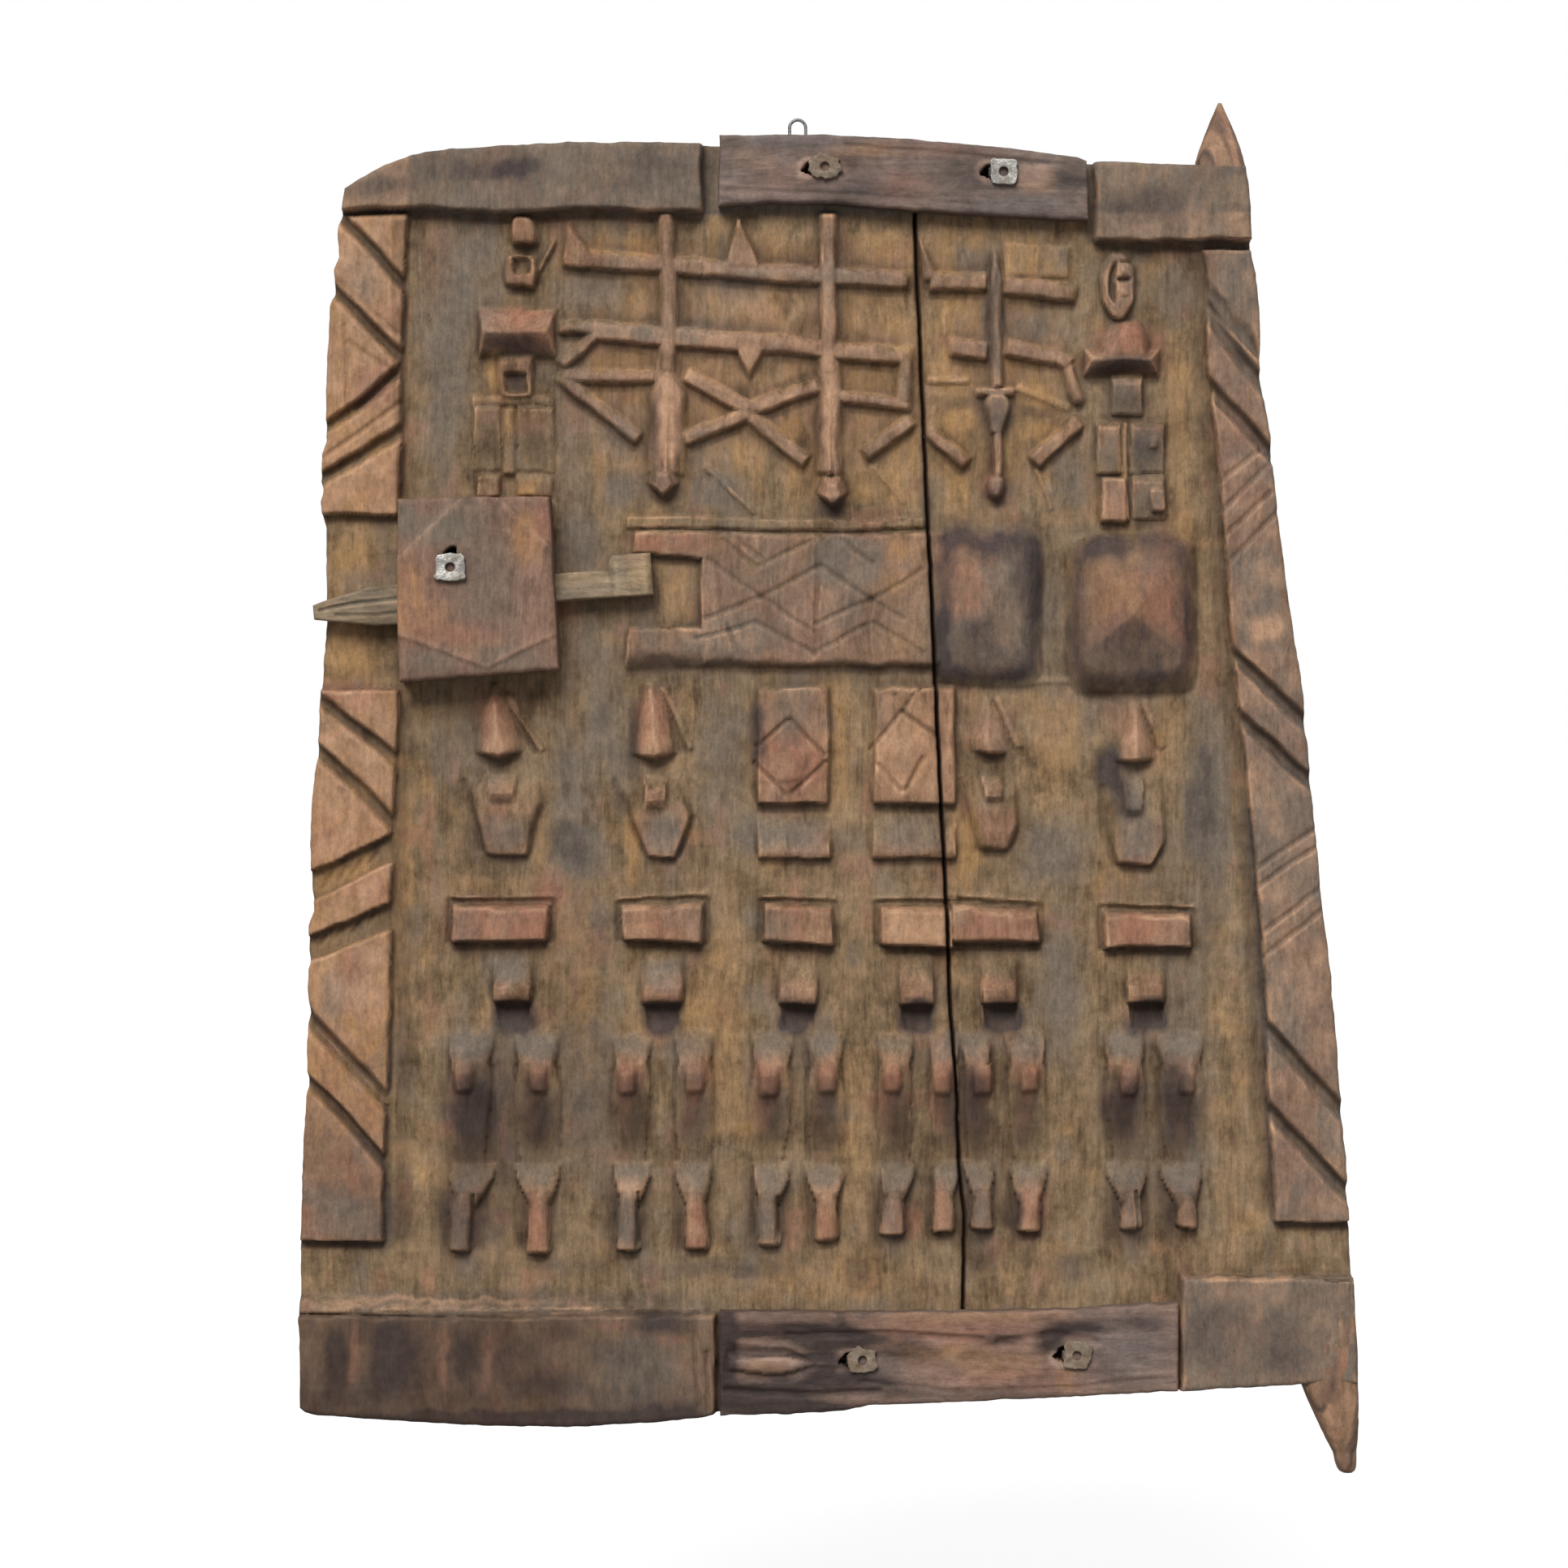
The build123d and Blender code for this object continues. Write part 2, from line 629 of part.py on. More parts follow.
# The hanger: a folded plate whose knuckle holds a wire ring that tips back from standing up.
pin_centre = place(hanger_at, hanger_pin_high, hanger_pin_y)
knuckle_face = Plane(origin=pin_centre - Vector(knuckle_long / 2, 0, 0), x_dir=(0, 1, 0), z_dir=(1, 0, 0))
with BuildPart() as hanger_plate:
    with BuildSketch(face(back_y)):
        between(
            hanger_at - hanger_plate_wide / 2, hanger_at + hanger_plate_wide / 2,
            hanger_pin_high - hanger_plate_long, hanger_pin_high - 2 * knuckle_r,
        )
        between(
            hanger_at - knuckle_long / 2, hanger_at + knuckle_long / 2,
            hanger_pin_high - 2 * knuckle_r, hanger_pin_high,
        )
        with Locations(*[(hanger_at, hanger_pin_high - drop) for drop in screw_drops]):
            Circle(screw_r + plate_hole_gap, mode=Mode.SUBTRACT)
    extrude(amount=-hanger_plate_thick)
    with BuildSketch(knuckle_face):
        Circle(knuckle_r)
    extrude(amount=knuckle_long)
    with BuildSketch(knuckle_face):
        Circle(wire_r + knuckle_gap)
    extrude(amount=knuckle_long, mode=Mode.SUBTRACT)
keep(hanger_plate.part, "hanger_plate")

ring_face = Plane(origin=pin_centre, x_dir=(1, 0, 0), z_dir=(0, -1, 0))
half_ring = ring_wide / 2
leg_top = ring_rise - half_ring
with BuildPart() as hanger_ring:
    with BuildLine(ring_face) as ring_line:
        FilletPolyline(
            (-half_ring, leg_top), (-half_ring, 0), (half_ring, 0), (half_ring, leg_top), radius=ring_corner_r
        )
        CenterArc((0, leg_top), half_ring, 0, 180)
    with BuildSketch(Plane(origin=ring_line.wire() @ 0, z_dir=ring_line.wire() % 0)):
        Circle(wire_r)
    sweep(path=ring_line.wire())
keep(hanger_ring.part, "hanger_ring")

with BuildPart() as hanger_screws:
    for drop in screw_drops:
        spot = (hanger_at, hanger_pin_high - drop)
        with BuildSketch(face(back_y + hanger_plate_thick)) as shank:
            with Locations(spot):
                Circle(screw_r)
        extrude(amount=screw_long)
        with BuildSketch(face(back_y + hanger_plate_thick)) as head:
            with Locations(spot):
                Circle(screw_head_r)
        extrude(amount=-screw_head_thick)
        with BuildSketch(face(back_y + hanger_plate_thick + screw_head_thick)) as slot:
            with Locations(spot):
                Rectangle(2 * screw_head_r, screw_slot_wide)
        extrude(amount=screw_slot_deep, mode=Mode.SUBTRACT)
keep(hanger_screws.part, "hanger_screws")
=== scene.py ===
from math import cos, pi, radians, sin

import bpy
import numpy as np
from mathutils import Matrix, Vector


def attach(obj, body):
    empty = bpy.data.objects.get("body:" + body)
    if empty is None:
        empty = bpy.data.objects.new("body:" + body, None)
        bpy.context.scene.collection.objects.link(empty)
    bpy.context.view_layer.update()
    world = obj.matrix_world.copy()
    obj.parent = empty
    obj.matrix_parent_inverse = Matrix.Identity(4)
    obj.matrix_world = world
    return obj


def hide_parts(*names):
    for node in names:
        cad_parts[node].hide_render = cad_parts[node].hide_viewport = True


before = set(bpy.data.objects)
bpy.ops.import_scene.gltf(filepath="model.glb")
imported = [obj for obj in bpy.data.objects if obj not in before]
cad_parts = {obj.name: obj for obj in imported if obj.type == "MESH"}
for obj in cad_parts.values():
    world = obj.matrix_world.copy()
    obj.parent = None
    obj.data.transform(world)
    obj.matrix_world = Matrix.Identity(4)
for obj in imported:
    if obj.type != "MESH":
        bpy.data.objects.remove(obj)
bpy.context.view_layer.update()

# The setting: the door hangs in white light, above a white floor that keeps its faint shadow.
# The main light comes from high in front and a little to the left, with a soft fill around.
floor_drop = -0.16
floor_reach = 40.0
floor_glow = 0.82
eye_distance = 2.683
eye_across = -0.346
eye_height = 0.415
sunk_face = -0.006
lamp_colour = (1.0, 0.98, 0.95)
key_from = Vector((-0.25, -1.0, 0.8))
key_strength = 2.75
key_spread = 30.0
back_from = Vector((0.6, 1.0, 0.5))
back_strength = 0.7
back_spread = 60.0
air_strength = 0.4


def srgb(red, green, blue):
    """A paint as the shaders want it, from the three numbers of 0 to 255 of a colour chart."""
    parts = np.array((red, green, blue)) / 255
    linear = np.where(parts > 0.04045, ((parts + 0.055) / 1.055) ** 2.4, parts / 12.92)
    return (*linear.tolist(), 1.0)


class Wire:
    """A node's output that can be used in sums: every sign between wires lays a Math node."""

    def __init__(self, tree, socket=None):
        self.tree = tree
        self.socket = socket

    def node(self, kind, settings=None, inputs=None, output=0):
        """Any other node of the tree: first its settings are made, then its inputs are filled."""
        made = self.tree.nodes.new(kind)
        for name, value in (settings or {}).items():
            setattr(made, name, value)
        for name, value in (inputs or {}).items():
            if isinstance(value, Wire):
                self.tree.links.new(value.socket, made.inputs[name])
            else:
                made.inputs[name].default_value = value
        return Wire(self.tree, made.outputs[output] if made.outputs else None)

    def sum(self, operation, *terms):
        """A Math node on these terms."""
        return self.node("ShaderNodeMath", {"operation": operation}, dict(enumerate(terms)))

    def __add__(self, other):
        return self.sum("ADD", self, other)

    def __radd__(self, other):
        return self.sum("ADD", other, self)

    def __sub__(self, other):
        return self.sum("SUBTRACT", self, other)

    def __rsub__(self, other):
        return self.sum("SUBTRACT", other, self)

    def __mul__(self, other):
        return self.sum("MULTIPLY", self, other)

    def __rmul__(self, other):
        return self.sum("MULTIPLY", other, self)

    def held(self):
        """The same value, held between 0 and 1."""
        return self.node("ShaderNodeClamp", None, {0: self})

    def mix(self, first, second):
        """From the first colour to the second as this value goes from 0 to 1."""
        return self.node("ShaderNodeMix", {"data_type": "RGBA"}, {0: self, 6: first, 7: second}, 2)

    def scaled(self, factors):
        """This vector, multiplied axis by axis."""
        return self.node("ShaderNodeVectorMath", {"operation": "MULTIPLY"}, {0: self, 1: factors})

    def plus(self, other):
        """This vector and another, added."""
        return self.node("ShaderNodeVectorMath", {"operation": "ADD"}, {0: self, 1: other})

    def lit(self, factor):
        """This colour, made brighter or darker by a value."""
        return self.node("ShaderNodeVectorMath", {"operation": "SCALE"}, {0: self, 3: factor})

    def cloud(self, scale, detail, roughness):
        """A noise over this vector, in clouds of about 1/scale metres."""
        inputs = {"Vector": self, "Scale": scale, "Detail": detail, "Roughness": roughness}
        return self.node("ShaderNodeTexNoise", None, inputs)

    def cloud_vector(self, scale):
        """A slow noise over this vector, as a vector about zero."""
        inputs = {"Vector": self, "Scale": scale, "Detail": 2.0}
        return self.node("ShaderNodeTexNoise", None, inputs, 1).plus((-0.5, -0.5, -0.5))


def start_material(name):
    """A new material's Principled shader, and a bare wire to begin its nodes from."""
    material = bpy.data.materials.new(name)
    material.use_nodes = True
    return material, material.node_tree.nodes["Principled BSDF"], Wire(material.node_tree)


def plug(shader, name, wire):
    """Feeds one input of a shader."""
    wire.tree.links.new(wire.socket, shader.inputs[name])


world = bpy.data.worlds.new("white_air")
bpy.context.scene.world = world
world.use_nodes = True
air = Wire(world.node_tree)
seen = air.node("ShaderNodeLightPath")
seen_air = air.node("ShaderNodeBackground", None, {"Color": (1.0, 1.0, 1.0, 1.0), "Strength": 1.0})
lit_air = air.node("ShaderNodeBackground", None, {"Color": srgb(250, 250, 255), "Strength": air_strength})
either_air = air.node("ShaderNodeMixShader", None, {0: seen, 1: lit_air, 2: seen_air})
world.node_tree.links.new(either_air.socket, world.node_tree.nodes["World Output"].inputs["Surface"])
world.node_tree.nodes.remove(world.node_tree.nodes["Background"])

floor_mesh = bpy.data.meshes.new("floor")
floor_corners = [(x * floor_reach, y * floor_reach, 0) for x, y in ((-1, -1), (1, -1), (1, 1), (-1, 1))]
floor_mesh.from_pydata(floor_corners, [], [(0, 1, 2, 3)])
floor = bpy.data.objects.new("floor", floor_mesh)
floor.location = (0, 0, floor_drop)
bpy.context.scene.collection.objects.link(floor)
floor_material, floor_shader, bare = start_material("floor_white")
floor_shader.inputs["Base Color"].default_value = (0.3, 0.3, 0.3, 1.0)
floor_shader.inputs["Roughness"].default_value = 1.0
floor_shader.inputs["Specular IOR Level"].default_value = 0.0
floor_shader.inputs["Emission Strength"].default_value = floor_glow
plug(floor_shader, "Emission Color", bare.node("ShaderNodeLightPath").mix((0, 0, 0, 1), (1, 1, 1, 1)))
floor_mesh.materials.append(floor_material)

for name, source, strength, spread in (
    ("key_light", key_from, key_strength, key_spread), ("back_light", back_from, back_strength, back_spread)
):
    lamp = bpy.data.lights.new(name, "SUN")
    lamp.energy = strength
    lamp.angle = radians(spread)
    lamp.color = lamp_colour
    light = bpy.data.objects.new(name, lamp)
    light.rotation_mode = "QUATERNION"
    light.rotation_quaternion = source.to_track_quat("Z", "Y")
    bpy.context.scene.collection.objects.link(light)

# The eye stands straight in front, its distance taken from the sunk ground of the carving.
camera = bpy.data.objects.new("camera", bpy.data.cameras.new("camera"))
camera.data.lens = 100.0
camera.data.sensor_width = 36.0
camera.location = (eye_across, sunk_face - eye_distance, eye_height)
camera.rotation_euler = (pi / 2, 0, 0)
bpy.context.scene.collection.objects.link(camera)
bpy.context.scene.camera = camera
bpy.context.scene.view_settings.view_transform = "Standard"

# The two planks: split and hewn hardwood, dry and weathered, carved while still one surface, with
# every figure left standing from the ground. Places are in millimetres, u across from the foot at
# the latch side and v above it.
foot = Vector((-644.0, 0.0, 28.0))
back_y = 18.0
ground_y = -6.0
plank_pitch = 1.25
plank_arris = 3.0
seam_arris = 1.4
latch_edge = (
    (-9, 1), (0, 1), (60, 0), (100, 0.5), (120, 1), (160, 2.5), (195, 4.5), (201, 6), (210, 4.5), (240, 5),
    (246, 6.5), (262, 5), (273, 5.5), (277, 7), (285, 5.5), (300, 6), (309, 9), (314, 8.5), (322, 7.5),
    (350, 7), (380, 8.5), (398, 10), (404, 11.5), (430, 12), (440, 12), (450, 14), (470, 15.3), (485, 16),
    (545, 16), (551, 14.5), (560, 13.5), (568, 15), (573, 13), (590, 14), (598, 16.5), (620, 16.2), (660, 18),
    (681, 19), (687, 21.5), (703, 21), (711, 24.5), (725, 23.5), (738, 26), (752, 28),
)
pivot_edge = (
    (15, 650.5), (100, 647), (140, 644), (160, 643), (200, 639.6), (240, 636.7), (280, 633), (320, 628),
    (380, 622.6), (415, 619), (430, 618.5), (460, 614.4), (500, 608.2), (540, 603.2), (580, 598.3),
    (600, 597), (625, 593), (640, 590.8), (680, 590), (700, 588.3), (712, 585.5), (730, 585), (745, 584),
    (768, 581),
)
foot_edge = (
    (-20, 8), (0, 5), (4, 1.5), (12, -0.5), (60, -4), (115, -6.8), (165, -8), (220, -5), (258, 0), (300, 2),
    (365, 6), (450, 9), (540, 14), (618, 19), (660, 19),
)
head_edge = (
    (20, 747), (28, 752.5), (50, 766), (70, 773.5), (95, 777), (135, 779.5), (165, 781), (250, 780.5),
    (370, 777), (440, 770.5), (487, 769), (560, 767), (600, 766),
)
seam_line = (
    (-20, 413), (63, 408), (120, 409.5), (150, 406), (200, 404), (250, 400.5), (320, 397.5), (400, 393.5),
    (450, 391), (540, 387), (640, 382.5), (735, 378.5), (800, 377),
)
seam_half = 1.3


def seam_middle(v):
    """Where the seam runs at each height, before its waver."""
    return np.interp(v, [v for v, u in seam_line], [u for v, u in seam_line])


def held(field):
    """The field, held between 0 and 1."""
    return np.clip(field, 0, 1)


def step(share):
    """A soft step from 0 to 1."""
    share = held(share)
    return share * share * (3 - 2 * share)


def within(field, low, rise, high, fall):
    """A soft share of what lies between low and high, with slopes this wide at either end."""
    return step((field - low) / rise) * step((high - field) / fall)


def noise(u, v, wide, tall, seed):
    """A smooth random field from -1 to 1 over places in millimetres, in cells this wide and tall."""
    lattice = np.random.default_rng(seed).uniform(-1, 1, (512, 512))
    x = u / wide + 31.7
    y = v / tall + 17.3
    column = np.floor(x).astype(int)
    row = np.floor(y).astype(int)
    across = step(x - column)
    up = step(y - row)
    below, above = (
        lattice[column % 512, level % 512] * (1 - across) + lattice[(column + 1) % 512, level % 512] * across
        for level in (row, row + 1)
    )
    return below * (1 - up) + above * up


def curve(points, rough, seed):
    """A hewn edge through (place along, place across) points, with a little waver."""
    along, across = np.array(points, float).T

    def at(place):
        base = np.interp(place, along, across)
        waver = noise(place, 0 * place, 11, 1, seed) + 0.5 * noise(place, 0 * place, 4, 1, seed + 1)
        return base + rough * waver

    return at


def softened(field, reach):
    """The field, averaged over this many cells each way."""
    span = 2 * reach + 1
    for _ in ("columns", "rows"):
        total = np.cumsum(np.pad(field, ((reach + 1, reach), (0, 0)), mode="edge"), axis=0)
        field = ((total[span:] - total[:-span]) / span).T
    return field


def shifted(field, columns, rows):
    """The field as it stands this many cells to the right and above."""
    reach = zip(field.shape, (columns, rows))
    return field[np.ix_(*(np.clip(np.arange(count) + move, 0, count - 1) for count, move in reach))]


def spots(u, v, places):
    """Soft patches, each by its middle, its half sizes and its strength."""
    field = np.zeros_like(u)
    for at_u, at_v, wide, tall, strength in places:
        near = (np.abs(u - at_u) < 2 * wide) & (np.abs(v - at_v) < 2 * tall)
        away = np.abs((u[near] - at_u) / wide) ** 3 + np.abs((v[near] - at_v) / tall) ** 3
        field[near] += strength * np.exp(-away)
    return field


def box(left, right, low, high):
    """The corners of an upright block."""
    return (left, low), (right, low), (right, high), (left, high)


class Relief:
    """Heights over a field of places, worked like the wood: slabs left standing, hollows and lines cut in."""

    def __init__(self, u, v, height, seed, waver=1.0):
        self.u = u + waver * (1.1 * noise(u, v, 42, 55, seed) + 0.4 * noise(u, v, 9, 14, seed + 1))
        self.v = v + waver * (1.1 * noise(u, v, 55, 42, seed + 2) + 0.4 * noise(u, v, 14, 9, seed + 3))
        self.ragged = 1.15 + 0.45 * noise(u, v, 11, 15, seed + 4)
        self.height = height

    def near(self, corners, margin=1.0):
        """Where the field lies near these corners."""
        low = np.min(corners, axis=0) - margin
        high = np.max(corners, axis=0) + margin
        return (self.u > low[0]) & (self.u < high[0]) & (self.v > low[1]) & (self.v < high[1])

    def share(self, near, corners, side, up, down, faceted=0.0):
        """How far each place lies inside a convex outline, 1 beyond its worn or faceted flanks."""
        u, v = self.u[near], self.v[near]
        corners = np.array(corners, float)
        after = np.roll(corners, -1, axis=0)
        area = np.sum(corners[:, 0] * after[:, 1] - after[:, 0] * corners[:, 1])
        hip = np.full(u.shape, 1.0)
        round_over = np.full(u.shape, 1.0)
        for (u0, v0), (u1, v1) in zip(corners, after):
            run = np.hypot(u1 - u0, v1 - v0) * np.sign(area)
            out_u, out_v = (v1 - v0) / run, (u0 - u1) / run
            flank = up if out_v > 0.5 else down if out_v < -0.5 else side
            inward = -((u - u0) * out_u + (v - v0) * out_v) / flank
            hip = np.minimum(hip, held(inward))
            round_over = round_over * np.sin(pi / 2 * held(inward / self.ragged[near]))
        return faceted * hip + (1 - faceted) * round_over

    def raise_to(self, near, level):
        """Leaves the field standing this high, wherever that's above nothing."""
        self.height[near] = np.where(level > 0.02, np.maximum(self.height[near], level), self.height[near])

    def slab(self, corners, proud, side=1.8, up=3.0, down=1.5, faceted=0.0):
        """Leaves a slab standing, its flanks this wide at its sides, its upper and its lower edge."""
        near = self.near(corners)
        self.raise_to(near, proud * self.share(near, corners, side, up, down, faceted))

    def block(self, left, right, low, high, proud, **flanks):
        """Leaves an upright block standing."""
        self.slab(box(left, right, low, high), proud, **flanks)

    def jut(self, left, right, low, edge, high, proud, lowest=0.0, side=1.8):
        """Leaves a block that juts out most along one level edge and slopes back above and below it."""
        corners = box(left, right, low, high)
        near = self.near(corners)
        v = self.v[near]
        share = self.share(near, corners, side, 1.0, 1.0)
        above = 1 - (v - edge) / (high - edge)
        below = lowest + (1 - lowest) * (v - low) / (edge - low)
        slope = held(np.minimum(above, below)) ** 0.8
        self.raise_to(near, proud * np.minimum(share, slope))

    def limb(self, foot_u, head_u, profile):
        """Leaves a rounded limb standing, from rows of height v, half width, how proud and how square."""
        table = np.array(profile, float)
        reach = table[:, 1].max()
        low = (min(foot_u, head_u) - reach, table[0, 0])
        high = (max(foot_u, head_u) + reach, table[-1, 0])
        near = self.near((low, high))
        half, proud, square = (np.interp(self.v[near], table[:, 0], column) for column in table.T[1:])
        middle = np.interp(self.v[near], (table[0, 0], table[-1, 0]), (foot_u, head_u))
        away = held(np.abs(self.u[near] - middle) / half / (0.85 + 0.15 * self.ragged[near]))
        inside = (self.v[near] > table[0, 0]) & (self.v[near] < table[-1, 0])
        self.raise_to(near, proud * (1 - away ** square) ** 0.6 * inside)

    def bar(self, start, end, wide, proud, **flanks):
        """Leaves a straight bar standing between two places."""
        start, end = np.array(start, float), np.array(end, float)
        along = (end - start) / np.hypot(*(end - start))
        off = wide / 2 * np.array((-along[1], along[0]))
        self.slab((start - off, end - off, end + off, start + off), proud, **flanks)

    def sink(self, corners, deep, side=2.0, up=2.0, down=2.0):
        """Cuts a hollow with sloping flanks."""
        near = self.near(corners)
        self.height[near] -= deep * step(self.share(near, corners, side, up, down))

    def gouge(self, path, wide, deep, lean=0.0):
        """Cuts a V-shaped line. lean moves its bottom towards its left-hand side as one follows it."""
        near = self.near(path, wide)
        u, v = self.u[near], self.v[near]
        cut = np.zeros_like(u)
        for (u0, v0), (u1, v1) in zip(path, path[1:]):
            run = np.hypot(u1 - u0, v1 - v0)
            along = ((u - u0) * (u1 - u0) + (v - v0) * (v1 - v0)) / run
            past = np.maximum(np.maximum(-along, along - run), 0)
            side = ((u1 - u0) * (v - v0) - (v1 - v0) * (u - u0)) / run - lean * wide / 2
            reach = np.where(side > 0, wide / 2 * (1 - lean), wide / 2 * (1 + lean))
            cut = np.maximum(cut, 1 - np.hypot(side / reach, past / (wide / 2)))
        self.height[near] -= deep * np.sin(pi / 2 * cut)


def point_rows(*parts):
    """Points, one to a row, from their across, their depth and their height."""
    return np.stack([part.ravel() for part in parts], axis=1)


def fours(*corners):
    """Faces of four corners, from four arrays of point numbers."""
    return np.stack(corners, axis=-1).reshape(-1, 4)


def outline(field):
    """The rim of a field, once around from its first corner."""
    return np.concatenate((field[:-1, 0], field[-1, :-1], field[:0:-1, -1], field[0, :0:-1]))


def lay_mesh(name, points, faces, marks, material):
    """A smooth piece from points in millimetres, arrays of faces and the marks on its points."""
    mesh = bpy.data.meshes.new(name)
    corners = np.concatenate([group.ravel() for group in faces])
    counts = np.concatenate([np.full(len(group), group.shape[1]) for group in faces])
    mesh.vertices.add(len(points))
    mesh.vertices.foreach_set("co", (points * 0.001).astype(np.float32).ravel())
    mesh.loops.add(len(corners))
    mesh.loops.foreach_set("vertex_index", corners.astype(np.int32))
    mesh.polygons.add(len(counts))
    mesh.polygons.foreach_set("loop_start", (np.cumsum(counts) - counts).astype(np.int32))
    mesh.update(calc_edges=True)
    mesh.polygons.foreach_set("use_smooth", np.ones(len(counts), bool))
    for mark, values in marks.items():
        layer = mesh.attributes.new(mark, "FLOAT", "POINT")
        layer.data.foreach_set("value", values.astype(np.float32))
    mesh.materials.append(material)
    piece = bpy.data.objects.new(name, mesh)
    bpy.context.scene.collection.objects.link(piece)
    return piece


def steps(length, pitch, arris):
    """Where the rows of a surface stand, from 0 to 1, closer together over its rounded edges."""
    rim = arris * np.array((0, 0.08, 0.3, 0.62))
    inner = np.linspace(arris, length - arris, 3 * round((length - 2 * arris) / pitch / 3) + 2)
    return np.concatenate((rim, inner, length - rim[::-1])) / length


def hew(name, edges, arrises, pitch, front, back, plain, material, place, turn=0.0, swollen=(0.0, 0.0)):
    """A closed board between four edges: left and right by v, foot and head by u.

    front(u, v) gives the depth and the marks of its face, back(u, v) the depth of its back.
    swollen is how far its left and right edges bulge out between the two."""
    left, right, low, high = edges
    middle_u = (left(np.array(0.0)) + right(np.array(0.0))) / 2
    middle_v = (low(middle_u) + high(middle_u)) / 2
    soft = max(arrises)
    back_arris = soft * 0.4
    wide = float(right(middle_v) - left(middle_v))
    tall = float(high(middle_u) - low(middle_u))
    s = steps(wide, pitch, soft)[:, None]
    t = steps(tall, pitch, soft)[None, :]
    u = left(middle_v) + wide * s + 0 * t
    for _ in range(5):
        v = low(u) + (high(u) - low(u)) * t
        u = left(v) + (right(v) - left(v)) * s
    y, marks = front(u, v)
    inward = (u - left(v), right(v) - u, v - low(u), high(u) - v)
    drop = np.zeros_like(u)
    for r, e in zip(arrises, inward):
        e = np.clip(e, 0, r)
        drop = np.maximum(drop, r - np.sqrt(r * r - (r - e) ** 2))
    y = y + drop
    at = np.arange(u.size).reshape(u.shape)
    rim = point_rows(outline(u), outline(y), outline(v))
    along = np.roll(rim, -1, axis=0) - np.roll(rim, 1, axis=0)
    out = np.stack((along[:, 2], -along[:, 0]), axis=1)
    out /= np.hypot(out[:, 0], out[:, 1])[:, None]
    length = np.cumsum(np.hypot(along[:, 0], along[:, 2])) / 2
    back_edge = back(rim[:, 0], rim[:, 2])
    layers = [point_rows(u, y, v)]
    around = len(rim)
    levels = np.linspace(0, 1, 9)[1:]
    at_left = rim[:, 0] - left(rim[:, 2]) < 0.01
    at_right = right(rim[:, 2]) - rim[:, 0] < 0.01
    bulge = swollen[0] * at_left + swollen[1] * at_right
    for level in levels:
        depth = rim[:, 1] + (back_edge - back_arris - rim[:, 1]) * level
        ripple = 0.35 * min(1, soft) * noise(length, depth, 13, 9, 71) * (bulge == 0)
        swell = (ripple + bulge) * sin(pi * level)
        layers.append(point_rows(rim[:, 0] + out[:, 0] * swell, depth, rim[:, 2] + out[:, 1] * swell))
    back_u, back_v = u[::3, ::3].copy(), v[::3, ::3].copy()
    back_u[0] += back_arris
    back_u[-1] -= back_arris
    back_v[:, 0] += back_arris
    back_v[:, -1] -= back_arris
    layers.append(point_rows(back_u, back(back_u, back_v), back_v))
    points = np.concatenate(layers)
    first = u.size
    quads = [fours(at[:-1, :-1], at[1:, :-1], at[1:, 1:], at[:-1, 1:])]
    ring = outline(at)
    for level in range(len(levels)):
        after = first + level * around + np.arange(around)
        quads.append(fours(ring, after, np.roll(after, -1), np.roll(ring, -1)))
        ring = after
    start = first + len(levels) * around
    back_at = start + np.arange(back_u.size).reshape(back_u.shape)
    back_loop = outline(back_at)
    fine = fours(ring[0::3], ring[1::3], ring[2::3], np.roll(ring, -3)[0::3])
    strip = np.column_stack((fine[:, ::-1], back_loop, np.roll(back_loop, -1)))
    quads.append(fours(back_at[:-1, :-1], back_at[:-1, 1:], back_at[1:, 1:], back_at[1:, :-1]))
    everywhere = {}
    for seed, (mark, level) in enumerate(plain.items(), 301):
        values = held(level + 0.3 * noise(points[:, 0], points[:, 2], 55, 140, seed))
        values[:first] = marks[mark].ravel()
        if mark == "grime":
            values[first:first + len(levels) * around] += np.tile(bulge > 0, len(levels))
        everywhere[mark] = values
    angle = radians(turn)
    x = points[:, 0] * cos(angle) - points[:, 2] * sin(angle)
    z = points[:, 0] * sin(angle) + points[:, 2] * cos(angle)
    points = point_rows(x, points[:, 1], z) + np.array(place)
    return lay_mesh(name, points, [np.concatenate(quads), strip], everywhere, material)


